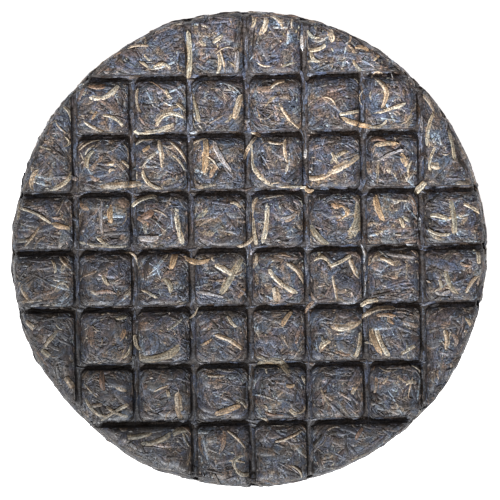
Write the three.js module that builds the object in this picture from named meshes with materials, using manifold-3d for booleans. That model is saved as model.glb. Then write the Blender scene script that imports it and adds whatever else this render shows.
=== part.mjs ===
// A raw pu-erh tea cake: a pressed disc of tea leaf, scored with a square grid into cells to break off.
// Millimetres, +Z up. The origin is the middle of the flat underside; the grid shows on top.

import * as THREE from 'three';
import { mergeVertices } from 'three/addons/utils/BufferGeometryUtils.js';
import Module from 'manifold-3d';

// Driving dimensions of the cake
const CAKE_RADIUS = 100;
const CELL_TOP = 13.6;
const CELL_PITCH = 24.15;
const GRID_TURN = THREE.MathUtils.degToRad(0.9);
const GROOVES_EACH_SIDE = 3;

// The grooves that run on through the outermost cells to the rim; the others stop at the last groove
const LONG_GROOVES = [-3, -1, 0, 1, 3];
const ALL_GROOVES = [-3, -2, -1, 0, 1, 2, 3];

// A groove's half section, each distance taken from its centre line, and how far down each line lies
const GROOVE_SECTION = [
  { from: 0, drop: 3.0 },
  { from: 1.15, drop: 2.8 },
  { from: 2.0, drop: 1.25 },
  { from: 6.2, drop: 0 },
];
const CELL_CORNER_RADIUS = 3.4;
const OUTER_CELL_LINES = [84, 91.5, CAKE_RADIUS + 4];
const BLOCK_UNDERSIDE = -1;

// Unevenness of the pressed leaf
const CRUMPLE_HEIGHT = 0.42;
const CRUMPLE_PLAN = 0.3;
const CELL_UNEVENNESS = 0.25;

// The rim, as insets from the outline and heights, from the underside up to above the cells.
// Its belly is the widest ring. The lid only closes the turned body, above everything on the face.
const RIM_SECTION = [
  { inset: 5.5, z: 0 },
  { inset: 1.3, z: 1.6 },
  { inset: 0, z: 5.6 },
  { inset: 0.5, z: 8.9 },
  { inset: 1.7, z: 11.3 },
  { inset: 3.7, z: 13.0 },
  { inset: 8.0, z: 14.6 },
];
const BELLY_Z = 5.6;
const RIM_LID = { inset: 14, z: 18 };
const RIM_SIDES = 72;
const RIM_CRUMPLE = 0.45;

// Where the shoulder is wider than elsewhere, in degrees round the cake
const WIDE_SHOULDERS = [
  { at: 31, spread: 15, extra: 1.5 },
  { at: 213, spread: 16, extra: 1.5 },
];

// Where the outline swells or dips, in degrees and millimetres
const OUTLINE_SWELLS = [
  { at: 110, spread: 3.5, rise: 1.2 },
  { at: 200, spread: 3, rise: 1.1 },
  { at: 208, spread: 3, rise: 0.9 },
  { at: 243, spread: 4, rise: 0.8 },
  { at: 167, spread: 5, rise: -0.7 },
  { at: 322, spread: 6, rise: 0.5 },
];

// How a leaf strip is built and laid: thickness is a share of its width, lift is to its middle,
// and the taper is the share of its length that narrows to the two tips
const BROAD_STRIP = { from: 2.4, sides: 6 };
const NARROW_STRIP_SIDES = 4;
const STRIP_PIECE_LENGTH = 5.5;
const STRIP_THICKNESS = 0.8;
const STRIP_LIFT = 0.25;
const STRIP_TAPER = 0.45;
const STRIP_LEAN = 0.25;
const STRIP_WAVINESS = 0.18;

// The strips that stand out: width, middle x and y, heading in degrees, length and bow to the left
const SHOWN_STRIPS = [
  [3.0, 35, 33, 25, 25, -1.5], [3.0, -37, -43, 30, 25, -3], [2.8, 45, 12, 75, 21, -1.5],
  [2.2, 3, 35, -70, 25, -4.5], [2.2, -37, 54, 15, 22, 3], [2.7, 41, -31, 5, 17, -4.5],
  [2.6, -19, 37, 90, 17, 1], [2.0, -29, 10, -80, 20, -0.5], [2.2, 15, -15, -25, 18, -3],
  [2.0, -62, 66, 15, 20, -5], [2.0, 48, 53, -5, 19, -3], [2.7, -49, 27, 0, 13, 0.5],
  [2.7, -7, -9, 60, 13, 0], [1.9, 77, 54, -85, 20, 5], [2.3, -33, -78, 25, 15, 0.5],
  [1.8, -77, 30, 45, 19, -1.5], [1.7, 38, 57, 0, 22, -1.5], [2.0, 6, 10, 85, 16, 0.5],
  [2.0, -8, -38, -30, 16, 0.5], [2.5, -29, -65, -85, 13, 0], [1.8, 86, 13, 85, 17, 0.5],
  [2.3, 29, 6, -55, 12, -0.5], [1.8, 35, -6, 0, 17, -4], [2.2, -46, -78, 10, 12, -2],
  [2.0, -36, 39, -85, 15, 0], [2.0, -87, 30, 55, 14, 1.5], [1.7, -92, -20, -45, 17, -4.5],
  [2.8, 14, -49, -35, 10, 1], [2.1, -20, -5, -5, 13, -3.5], [2.2, 54, 17, -75, 11, -1],
  [1.7, 83, -14, -70, 17, -2.5], [2.2, -4, 59, 75, 11, -0.5], [2.0, -9, -67, 20, 12, 0.5],
  [2.1, 53, -39, -65, 12, -0.5], [2.4, 32, 90, -75, 10, 1.5], [1.7, -55, -68, 30, 15, 0],
  [2.0, -5, -90, -80, 9, -4],
];

// Strips laid by rule: so many to a cell, with ranges of width and length. They stray from the
// cells' middles by a share of the pitch and stay within a radius.
const SCATTER_SEED = 2713;
const SCATTER_PER_CELL = 0.2;
const SCATTER_WIDTH = [2.2, 4.4];
const SCATTER_LENGTH = [9, 17];
const SCATTER_BOW = [-2.2, 2.2];
const SCATTER_STRAY = [-0.3, 0.3];
const SCATTER_REACH = 90;

// Strips that lie along the wide shoulders, following the outline
const SHOULDER_STRIPS_EACH = 4;
const SHOULDER_STRIP_WIDTH = [1.9, 2.9];
const SHOULDER_STRIP_LENGTH = [13, 22];
const SHOULDER_STRIP_INSET = [1.6, 6.5];
const SHOULDER_STRIP_SLANT = [-5, 5];
const SHOULDER_SPAN = 1.2;

const LEAF_FINISH = { color: '#4a4442', roughness: 0.72, metalness: 0 };

// A repeatable draw of numbers from 0 to 1
function seededDraw(seed) {
  let state = seed;
  return () => {
    state = (state + 0x6d2b79f5) | 0;
    let mixed = Math.imul(state ^ (state >>> 15), 1 | state);
    mixed = (mixed + Math.imul(mixed ^ (mixed >>> 7), 61 | mixed)) ^ mixed;
    return ((mixed ^ (mixed >>> 14)) >>> 0) / 4294967296;
  };
}

// A repeatable number from -1 to 1 for a pair of whole numbers and a channel
function gridNoise(i, j, channel) {
  return 2 * seededDraw(i * 7919 + j * 104729 + channel * 1299709)() - 1;
}

function pick(draw, [low, high]) {
  return low + (high - low) * draw();
}

// A smooth bump, 1 at its middle angle, for angles in degrees
function angularBump(degrees, { at, spread }) {
  const away = ((degrees - at + 540) % 360) - 180;
  return Math.exp(-0.5 * (away / spread) ** 2);
}

// Straight-line interpolation of one named value along a section
function alongSection(section, key, at, value) {
  const next = section.findIndex((point) => point[key] >= at);
  if (next === 0) {
    return section[0][value];
  }
  if (next < 0) {
    return section[section.length - 1][value];
  }
  const before = section[next - 1];
  const after = section[next];
  const part = (at - before[key]) / (after[key] - before[key]);
  return before[value] + part * (after[value] - before[value]);
}

// The nearest cell's index along one axis of the grid, where the outermost cells run on to the rim
function cellIndex(along) {
  const index = Math.floor(along / CELL_PITCH);
  return THREE.MathUtils.clamp(index, -GROOVES_EACH_SIDE - 1, GROOVES_EACH_SIDE);
}

// Distance along one axis to the nearest groove across it, for a place on the other axis
function toGroove(along, other) {
  const isOutermost = Math.abs(other) > GROOVES_EACH_SIDE * CELL_PITCH;
  const grooves = isOutermost ? LONG_GROOVES : ALL_GROOVES;
  return Math.min(...grooves.map((groove) => Math.abs(along - groove * CELL_PITCH)));
}

// Distance to the nearest groove's centre line, with the cells' corners rounded
function grooveDistance(u, v) {
  const overU = CELL_CORNER_RADIUS - toGroove(u, v);
  const overV = CELL_CORNER_RADIUS - toGroove(v, u);
  if (overU > 0 && overV > 0) {
    return Math.max(0, CELL_CORNER_RADIUS - Math.hypot(overU, overV));
  }
  return CELL_CORNER_RADIUS - Math.max(overU, overV);
}

// Height of the pressed face before it is crumpled, in the grid's own axes
function pressedHeight(u, v) {
  const drop = alongSection(GROOVE_SECTION, 'from', grooveDistance(u, v), 'drop');
  const cellLift = CELL_UNEVENNESS * gridNoise(cellIndex(u), cellIndex(v), 1);
  return CELL_TOP + cellLift - drop;
}

// The outline's radius at an angle in degrees
function outlineRadius(degrees) {
  const swell = OUTLINE_SWELLS.reduce((sum, each) => sum + each.rise * angularBump(degrees, each), 0);
  return CAKE_RADIUS + swell;
}

// How many times wider than usual the shoulder is at an angle
function shoulderWidening(degrees) {
  return WIDE_SHOULDERS.reduce((sum, each) => sum + each.extra * angularBump(degrees, each), 1);
}

function degreesAt(x, y) {
  return THREE.MathUtils.radToDeg(Math.atan2(y, x));
}

// Height of the cake's upper side at a place, whether pressed face or shoulder
function surfaceHeight(x, y) {
  const place = new THREE.Vector2(x, y).rotateAround(new THREE.Vector2(), -GRID_TURN);
  const degrees = degreesAt(x, y);
  const inset = (outlineRadius(degrees) - Math.hypot(x, y)) / shoulderWidening(degrees);
  const shoulder = RIM_SECTION.filter((point) => point.z >= BELLY_Z);
  return Math.min(pressedHeight(place.x, place.y), alongSection(shoulder, 'inset', inset, 'z'));
}

// The grid lines that the pressed face is built on: three to each side of a groove, more by the rim
function latticeLines() {
  const lines = OUTER_CELL_LINES.flatMap((line) => [-line, line]);
  const steps = GROOVE_SECTION.map((point) => point.from).filter((from) => from > 0);
  for (let groove = -GROOVES_EACH_SIDE; groove <= GROOVES_EACH_SIDE; groove += 1) {
    steps.forEach((from) => lines.push(groove * CELL_PITCH - from, groove * CELL_PITCH + from));
  }
  return lines.sort((a, b) => a - b);
}

// The pressed face as a block whose top is moved on to the relief, with its underside below the cake's
function reliefBlock() {
  const lines = latticeLines();
  const cuts = lines.length - 1;
  const block = new THREE.BoxGeometry(1, 1, 1, cuts, cuts, 1);
  const points = block.attributes.position;
  for (let index = 0; index < points.count; index += 1) {
    const i = Math.round((points.getX(index) + 0.5) * cuts);
    const j = Math.round((points.getY(index) + 0.5) * cuts);
    const u = lines[i] + CRUMPLE_PLAN * gridNoise(i, j, 2);
    const v = lines[j] + CRUMPLE_PLAN * gridNoise(i, j, 3);
    const isTop = points.getZ(index) > 0;
    const crumpled = pressedHeight(lines[i], lines[j]) + CRUMPLE_HEIGHT * gridNoise(i, j, 4);
    points.setXYZ(index, isTop ? u : lines[i], isTop ? v : lines[j], isTop ? crumpled : BLOCK_UNDERSIDE);
  }
  block.rotateZ(GRID_TURN);
  return block;
}

// The rim as a turned body, then swollen, dipped and widened round the outline
function rimBody() {
  const profile = RIM_SECTION.map(({ inset, z }) => new THREE.Vector2(CAKE_RADIUS - inset, z));
  const foot = new THREE.Vector2(0, 0);
  const lidEdge = new THREE.Vector2(CAKE_RADIUS - RIM_LID.inset, RIM_LID.z);
  const lidMiddle = new THREE.Vector2(0, RIM_LID.z);
  const body = new THREE.LatheGeometry([foot, ...profile, lidEdge, lidMiddle], RIM_SIDES);
  body.rotateX(Math.PI / 2);
  const points = body.attributes.position;
  for (let index = 0; index < points.count; index += 1) {
    const x = points.getX(index);
    const y = points.getY(index);
    const z = points.getZ(index);
    const radius = Math.hypot(x, y);
    if (radius > 1) {
      const degrees = degreesAt(x, y);
      const side = Math.round((degrees + 360) * RIM_SIDES / 360) % RIM_SIDES;
      const widening = z > BELLY_Z ? shoulderWidening(degrees) : 1;
      const isBelly = Math.abs(z - BELLY_Z) < 0.01;
      const isCrumpled = z > 0 && z < RIM_LID.z && !isBelly;
      const crumple = isCrumpled ? RIM_CRUMPLE * (gridNoise(side, Math.round(z * 10), 5) - 1) / 2 : 0;
      const moved = outlineRadius(degrees) - (CAKE_RADIUS - radius) * widening + crumple;
      points.setXY(index, x * moved / radius, y * moved / radius);
    }
  }
  return body;
}

// A leaf strip: a ball of few sides stretched along a curve, flattened and laid on the surface
function leafStrip(curve, width, draw) {
  const rings = Math.max(5, Math.round(curve.getLength() / STRIP_PIECE_LENGTH) + 1);
  const sides = width < BROAD_STRIP.from ? NARROW_STRIP_SIDES : BROAD_STRIP.sides;
  const strip = new THREE.SphereGeometry(1, sides, rings);
  const lean = pick(draw, [-STRIP_LEAN, STRIP_LEAN]);
  const waves = Array.from({ length: rings + 1 }, () => pick(draw, [1 - STRIP_WAVINESS, 1 + STRIP_WAVINESS]));
  const points = strip.attributes.position;
  for (let index = 0; index < points.count; index += 1) {
    const polar = Math.acos(THREE.MathUtils.clamp(points.getY(index), -1, 1));
    const ring = Math.round(rings * polar / Math.PI);
    const along = ring / rings;
    const isTip = ring === 0 || ring === rings;
    const tip = Math.min(1, 2 * Math.min(along, 1 - along) / STRIP_TAPER);
    const reach = isTip ? 0 : 0.5 * width * waves[ring] * Math.sqrt(tip) / Math.sin(polar);
    const across = reach * points.getX(index);
    const up = reach * points.getZ(index) * STRIP_THICKNESS + lean * across;
    const centre = curve.getPointAt(along);
    const heading = curve.getTangentAt(along);
    const x = centre.x - heading.y * across;
    const y = centre.y + heading.x * across;
    points.setXYZ(index, x, y, surfaceHeight(x, y) + STRIP_LIFT + up);
  }
  return strip;
}

// A path through a middle place, for a heading in degrees and a bow to its left
function bowedPath([x, y], turn, length, bow) {
  const heading = THREE.MathUtils.degToRad(turn);
  const ahead = new THREE.Vector3(Math.cos(heading), Math.sin(heading), 0);
  const left = new THREE.Vector3(-ahead.y, ahead.x, 0);
  const chordMiddle = new THREE.Vector3(x, y, 0).addScaledVector(left, -bow / 2);
  const start = chordMiddle.clone().addScaledVector(ahead, -length / 2);
  const end = chordMiddle.clone().addScaledVector(ahead, length / 2);
  const control = chordMiddle.clone().addScaledVector(left, 2 * bow);
  return new THREE.QuadraticBezierCurve3(start, control, end);
}

// Strips placed where they stand out on the cake
function shownStrips(draw) {
  return SHOWN_STRIPS.map(([width, x, y, turn, length, bow]) =>
    leafStrip(bowedPath([x, y], turn, length, bow), width, draw));
}

// Broad strips spread evenly: each cell adds its share, and one is laid whenever a whole one is owed
function scatteredStrips(draw) {
  const strips = [];
  let owed = 0;
  for (let column = -GROOVES_EACH_SIDE - 1; column <= GROOVES_EACH_SIDE; column += 1) {
    for (let row = -GROOVES_EACH_SIDE - 1; row <= GROOVES_EACH_SIDE; row += 1) {
      const x = (column + 0.5 + pick(draw, SCATTER_STRAY)) * CELL_PITCH;
      const y = (row + 0.5 + pick(draw, SCATTER_STRAY)) * CELL_PITCH;
      owed += Math.hypot(x, y) < SCATTER_REACH ? SCATTER_PER_CELL : 0;
      if (owed >= 1) {
        owed -= 1;
        const path = bowedPath([x, y], 180 * draw(), pick(draw, SCATTER_LENGTH), pick(draw, SCATTER_BOW));
        strips.push(leafStrip(path, pick(draw, SCATTER_WIDTH), draw));
      }
    }
  }
  return strips;
}

// Strips that follow the outline on the wide shoulders
function shoulderStrips(draw) {
  return WIDE_SHOULDERS.flatMap(({ at, spread }) =>
    Array.from({ length: SHOULDER_STRIPS_EACH }, (_, index) => {
      const share = (2 * index + 1) / SHOULDER_STRIPS_EACH - 1;
      const degrees = at + share * SHOULDER_SPAN * spread;
      const around = THREE.MathUtils.degToRad(degrees);
      const radius = outlineRadius(degrees) - pick(draw, SHOULDER_STRIP_INSET);
      const place = [radius * Math.cos(around), radius * Math.sin(around)];
      const turn = degrees + 90 + pick(draw, SHOULDER_STRIP_SLANT);
      const length = pick(draw, SHOULDER_STRIP_LENGTH);
      const bow = -length * length / (8 * radius);
      return leafStrip(bowedPath(place, turn, length, bow), pick(draw, SHOULDER_STRIP_WIDTH), draw);
    }));
}

const wasm = await Module();
wasm.setup();

// A closed geometry as a solid that can be joined and cut
function solidOf(geometry) {
  geometry.deleteAttribute('normal');
  geometry.deleteAttribute('uv');
  const merged = mergeVertices(geometry, 1e-4);
  return new wasm.Manifold(new wasm.Mesh({
    numProp: 3,
    vertProperties: new Float32Array(merged.attributes.position.array),
    triVerts: new Uint32Array(merged.index.array),
  }));
}

// The shell that each corner of a mesh belongs to, named by its first corner
function shellOfCorners(triangles, cornerCount) {
  const parent = Array.from({ length: cornerCount }, (_, corner) => corner);
  const root = (corner) => {
    let at = corner;
    while (parent[at] !== at) {
      parent[at] = parent[parent[at]];
      at = parent[at];
    }
    return at;
  };
  for (let index = 0; index < triangles.length; index += 3) {
    parent[root(triangles[index + 1])] = root(triangles[index]);
    parent[root(triangles[index + 2])] = root(triangles[index]);
  }
  return root;
}

// A solid back as a geometry of its largest shell: hollows sealed by crossing strips are filled
function geometryOf(solid) {
  const { vertProperties, triVerts } = solid.getMesh();
  const shellOf = shellOfCorners(triVerts, vertProperties.length / 3);
  const shells = new Map();
  for (let index = 0; index < triVerts.length; index += 3) {
    const shell = shellOf(triVerts[index]);
    shells.set(shell, [...(shells.get(shell) ?? []), ...triVerts.slice(index, index + 3)]);
  }
  const largest = [...shells.values()].reduce((best, each) => (each.length > best.length ? each : best));
  const geometry = new THREE.BufferGeometry();
  geometry.setAttribute('position', new THREE.BufferAttribute(vertProperties, 3));
  geometry.setIndex(largest);
  return geometry;
}

// The whole cake: the pressed block held within the rim, with the strips fused on
function teaCake() {
  const draw = seededDraw(SCATTER_SEED);
  const strips = [...shownStrips(draw), ...scatteredStrips(draw), ...shoulderStrips(draw)];
  const pressed = solidOf(reliefBlock()).intersect(solidOf(rimBody()));
  const whole = strips.reduce((joined, strip) => joined.add(solidOf(strip)), pressed);
  const geometry = geometryOf(whole).toNonIndexed();
  geometry.computeVertexNormals();
  const mesh = new THREE.Mesh(geometry, new THREE.MeshStandardMaterial(LEAF_FINISH));
  mesh.name = 'tea_cake';
  return mesh;
}

const teaCakeGroup = new THREE.Group();
teaCakeGroup.add(teaCake());

export default teaCakeGroup;
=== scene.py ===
"""Dresses the solid model of a raw pu-erh tea cake as it looks in life.

The cake is a pressed disc of tea leaf, scored with a square grid. Its body is one mesh. Leaf strips,
fibres, crumbs and pale stems are laid over the scored face, down in the grooves, round the rim and on
the underside. Everything is in metres, +Z up, in the solid model's own frame.
"""

from __future__ import annotations
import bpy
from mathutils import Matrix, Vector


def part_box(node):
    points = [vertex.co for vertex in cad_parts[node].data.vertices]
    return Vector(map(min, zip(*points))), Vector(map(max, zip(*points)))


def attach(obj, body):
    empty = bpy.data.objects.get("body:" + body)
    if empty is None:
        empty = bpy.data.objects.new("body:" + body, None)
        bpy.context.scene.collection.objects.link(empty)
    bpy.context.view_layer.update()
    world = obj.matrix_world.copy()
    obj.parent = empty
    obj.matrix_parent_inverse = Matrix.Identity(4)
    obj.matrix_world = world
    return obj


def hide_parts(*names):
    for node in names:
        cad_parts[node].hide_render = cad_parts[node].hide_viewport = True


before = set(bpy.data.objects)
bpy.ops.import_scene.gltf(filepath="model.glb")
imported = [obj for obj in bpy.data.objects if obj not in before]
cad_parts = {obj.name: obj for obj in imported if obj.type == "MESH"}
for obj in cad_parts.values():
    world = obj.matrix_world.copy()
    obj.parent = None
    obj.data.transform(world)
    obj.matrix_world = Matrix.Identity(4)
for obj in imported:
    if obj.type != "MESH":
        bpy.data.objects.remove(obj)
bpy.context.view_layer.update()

import logging
import math
from dataclasses import dataclass, field
from enum import Enum

import bpy
import numpy as np
from mathutils import Matrix, Vector

LOG = logging.getLogger("tea_cake")
MM = 0.001
NODE_NAME = "tea_cake"

# The low and the high end that most of a noise's values lie between
NOISE_SPAN = (0.3, 0.7)
# What two heights or places may differ by and still count as the same
SLACK = 0.01 * MM
# How far apart the seeds of two layers are, so that no two draws share one
SEED_STEP = 20
# The share of lost corners above which a face goes: with one of its four, or with two
ONE_CORNER = 0.1
TWO_CORNERS = 0.4

Triple = tuple[float, float, float]
Colour = Triple
Range = tuple[float, float]
Section = tuple[tuple[float, float], ...]
Spot = tuple[float, float]


def mm(first: float, second: float) -> Range:
    """Two numbers of millimetres, in metres."""
    return first * MM, second * MM


class Tone(Enum):
    """Colours of dried tea leaf, as linear red, green and blue."""

    SOOT = (0.010, 0.007, 0.006)
    PEAT = (0.040, 0.028, 0.021)
    PLUM = (0.036, 0.031, 0.036)
    SLATE = (0.055, 0.058, 0.070)
    INK = (0.042, 0.049, 0.070)
    BARK = (0.064, 0.052, 0.048)
    EARTH = (0.112, 0.095, 0.087)
    ASH = (0.205, 0.197, 0.203)
    OLIVE = (0.190, 0.172, 0.132)
    RUSSET = (0.155, 0.106, 0.080)
    AMBER = (0.260, 0.190, 0.124)
    TAN = (0.300, 0.256, 0.198)
    STRAW = (0.335, 0.302, 0.244)


Stops = tuple[tuple[float, Tone], ...]


class Seat(Enum):
    """Where on the cake a layer of leaf lies."""

    FACE = "face"
    GROOVES = "grooves"
    RIM = "rim"
    UNDERSIDE = "underside"


class Draw(Enum):
    """What the random numbers of a strip are drawn for."""

    HEADING = 1
    SLANT = 2
    FOLLOWING = 3
    LENGTH = 4
    WIDTH = 5
    LIFT = 6
    BOW = 7
    TINT = 9
    LOOSE = 10
    CALM = 11


@dataclass(frozen=True)
class Wire:
    """A node's socket that takes part in arithmetic.

    Args:
        graph: The graph that the socket's node is in.
        socket: The output socket.
    """

    graph: Graph
    socket: bpy.types.NodeSocket

    def __add__(self, other: Wire | float) -> Wire:
        """Adds."""
        return self.graph.math("ADD", self, other)

    __radd__ = __add__

    def __sub__(self, other: Wire | float) -> Wire:
        """Subtracts."""
        return self.graph.math("SUBTRACT", self, other)

    def __rsub__(self, other: float) -> Wire:
        """Subtracts from a number."""
        return self.graph.math("SUBTRACT", other, self)

    def __mul__(self, other: Wire | float) -> Wire:
        """Multiplies."""
        return self.graph.math("MULTIPLY", self, other)

    __rmul__ = __mul__

    def __truediv__(self, other: Wire | float) -> Wire:
        """Divides."""
        return self.graph.math("DIVIDE", self, other)

    def __pow__(self, other: float) -> Wire:
        """Raises to a power."""
        return self.graph.math("POWER", self, other)

    def __neg__(self) -> Wire:
        """Turns the sign round."""
        return self.graph.math("MULTIPLY", self, -1.0)

    def __abs__(self) -> Wire:
        """Takes the sign off."""
        return self.graph.math("ABSOLUTE", self)

    def __gt__(self, other: Wire | float) -> Wire:
        """1 where this is greater, otherwise 0."""
        return self.graph.math("GREATER_THAN", self, other)

    def __lt__(self, other: Wire | float) -> Wire:
        """1 where this is less, otherwise 0."""
        return self.graph.math("LESS_THAN", self, other)

    def at_least(self, other: Wire | float) -> Wire:
        """The greater of the two."""
        return self.graph.math("MAXIMUM", self, other)

    def at_most(self, other: Wire | float) -> Wire:
        """The lesser of the two."""
        return self.graph.math("MINIMUM", self, other)

    def floor(self) -> Wire:
        """The whole number below."""
        return self.graph.math("FLOOR", self)

    def sign(self) -> Wire:
        """-1, 0 or 1."""
        return self.graph.math("SIGN", self)

    def root(self) -> Wire:
        """The square root."""
        return self.graph.math("SQRT", self)

    def sine(self) -> Wire:
        """The sine of an angle in radians."""
        return self.graph.math("SINE", self)

    def cosine(self) -> Wire:
        """The cosine of an angle in radians."""
        return self.graph.math("COSINE", self)

    def length_with(self, other: Wire) -> Wire:
        """The length of a direction that has these two numbers."""
        return (self * self + other * other).root()

    def angle_over(self, across: Wire) -> Wire:
        """The angle of a direction whose second number is this one, in radians."""
        return self.graph.math("ARCTAN2", self, across)

    def within(self, low: float, high: float) -> Wire:
        """This value, or the nearer of the two ends where it lies outside them."""
        return self.at_least(low).at_most(high)

    def ramp(
        self, start: float, end: float, low: float = 0.0, high: float = 1.0, ease: bool = True
    ) -> Wire:
        """Goes from one value to another.

        Args:
            start: Where the change starts.
            end: Where it ends.
            low: The value up to the start.
            high: The value from the end on.
            ease: True to start and end the change gently.

        Returns:
            The changed value.
        """
        settings = {"interpolation_type": "SMOOTHSTEP" if ease else "LINEAR"}
        values = {"Value": self, "From Min": start, "From Max": end, "To Min": low, "To Max": high}
        return self.graph.node("ShaderNodeMapRange", settings, values)


@dataclass(frozen=True)
class Graph:
    """A node tree that is built from expressions.

    Args:
        tree: The tree of a material or of a Geometry Nodes modifier.
    """

    tree: bpy.types.NodeTree

    def node(
        self, kind: str, settings: dict | None = None, values: dict | None = None, out: int | str = 0
    ) -> Wire:
        """Adds one node.

        Args:
            kind: The node's type.
            settings: Its settings, or its ramp's, which are set first.
            values: A constant or a wire for each socket, by name or by place.
            out: The output wanted, by name or by place.

        Returns:
            That output.
        """
        made = self.tree.nodes.new(kind)
        target = getattr(made, "color_ramp", made)
        for key, value in (settings or {}).items():
            if key == "stops":
                self.set_stops(target, value)
            else:
                setattr(target, key, value)
        for key, value in (values or {}).items():
            if isinstance(value, Wire):
                self.tree.links.new(value.socket, made.inputs[key])
            else:
                made.inputs[key].default_value = value
        return Wire(self, made.outputs[out])

    def set_stops(self, ramp: bpy.types.ColorRamp, stops: Stops) -> None:
        """Gives a ramp of colours its stops.

        Args:
            ramp: The ramp.
            stops: Each stop's place, from 0 to 1, and its tone.
        """
        while len(ramp.elements) < len(stops):
            ramp.elements.new(1.0)
        for element, (place, tone) in zip(ramp.elements, stops):
            element.position = place
            element.color = (*tone.value, 1.0)

    def math(self, operation: str, *values: Wire | float) -> Wire:
        """The result of a Math node, from its operation and its numbers."""
        return self.node("ShaderNodeMath", {"operation": operation}, dict(enumerate(values)))

    def vector_math(self, operation: str, *values: Wire | Triple) -> Wire:
        """The result of a Vector Math node, from its operation and its vectors."""
        return self.node("ShaderNodeVectorMath", {"operation": operation}, dict(enumerate(values)))

    def scaled(self, vector: Wire, size: Wire | float) -> Wire:
        """A vector times a number."""
        return self.node("ShaderNodeVectorMath", {"operation": "SCALE"}, {0: vector, "Scale": size})

    def summed(self, *vectors: Wire) -> Wire:
        """The sum of some vectors."""
        total = vectors[0]
        for vector in vectors[1:]:
            total = self.vector_math("ADD", total, vector)
        return total

    def square_to(self, first: Wire | Triple, second: Wire) -> Wire:
        """The direction square to two others."""
        return self.vector_math("NORMALIZE", self.vector_math("CROSS_PRODUCT", first, second))

    def joined(self, x: Wire | float, y: Wire | float, z: Wire | float = 0.0) -> Wire:
        """A vector from three numbers."""
        return self.node("ShaderNodeCombineXYZ", values={"X": x, "Y": y, "Z": z})

    def spread(self, numbers: tuple[Wire, ...], scales: tuple[float, ...]) -> Wire:
        """A vector from two or three numbers, each times its own scale."""
        return self.joined(*(number * scale for number, scale in zip(numbers, scales)))

    def split(self, vector: Wire) -> tuple[Wire, Wire, Wire]:
        """A vector's three numbers."""
        outputs = self.node("ShaderNodeSeparateXYZ", values={0: vector}).socket.node.outputs
        return Wire(self, outputs[0]), Wire(self, outputs[1]), Wire(self, outputs[2])

    def mixed(self, share: Wire | float, first: Wire | Colour, second: Wire | Colour) -> Wire:
        """A colour between two others, by how much of the second there is, from 0 to 1."""
        # The node's sockets 6 and 7 and its output 2 are those of colours
        ends = [end if isinstance(end, Wire) else (*end, 1.0) for end in (first, second)]
        return self.node("ShaderNodeMix", {"data_type": "RGBA"}, {0: share, 6: ends[0], 7: ends[1]}, 2)

    def object_place(self) -> Wire:
        """The place on a piece, for a material."""
        return self.node("ShaderNodeTexCoord", out="Object")

    def attribute(self, name: str) -> Wire:
        """Reads a number that a piece's points hold, for a material."""
        return self.node("ShaderNodeAttribute", {"attribute_name": name}, out="Fac")

    def position(self) -> Wire:
        """The place of each point in Geometry Nodes."""
        return self.node("GeometryNodeInputPosition")

    def named(self, name: str, kind: str = "FLOAT") -> Wire:
        """Reads an attribute in Geometry Nodes."""
        return self.node("GeometryNodeInputNamedAttribute", {"data_type": kind}, {"Name": name})

    def stored(self, geometry: Wire, name: str, value: Wire, kind: str = "FLOAT") -> Wire:
        """Stores an attribute on the points in Geometry Nodes."""
        values = {"Geometry": geometry, "Name": name, "Value": value}
        settings = {"data_type": kind, "domain": "POINT"}
        return self.node("GeometryNodeStoreNamedAttribute", settings, values)

    def moved(self, geometry: Wire, position: Wire) -> Wire:
        """Moves the points in Geometry Nodes."""
        return self.node("GeometryNodeSetPosition", None, {"Geometry": geometry, "Position": position})

    def without(self, geometry: Wire, gone: Wire, domain: str = "FACE") -> Wire:
        """Drops faces or points in Geometry Nodes."""
        values = {"Geometry": geometry, "Selection": gone}
        return self.node("GeometryNodeDeleteGeometry", {"domain": domain}, values)

    def noise(self, vector: Wire, scale: float = 1.0, detail: float = 1.0, roughness: float = 0.5) -> Wire:
        """Smooth noise at a place, about 0 to 1, with as many lumps to a unit as its scale says."""
        values = {"Vector": vector, "Scale": scale, "Detail": detail, "Roughness": roughness}
        return self.node("ShaderNodeTexNoise", values=values)


@dataclass(frozen=True)
class CellPlace:
    """Where a place is in its cell of the grid, by the grid's two axes.

    Args:
        off_u: Half the pitch less how far the place is from the groove on its side along the first
            axis, with the side's sign, or 0 on a side without a groove.
        off_v: The same along the second axis.
    """

    off_u: Wire
    off_v: Wire


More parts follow.
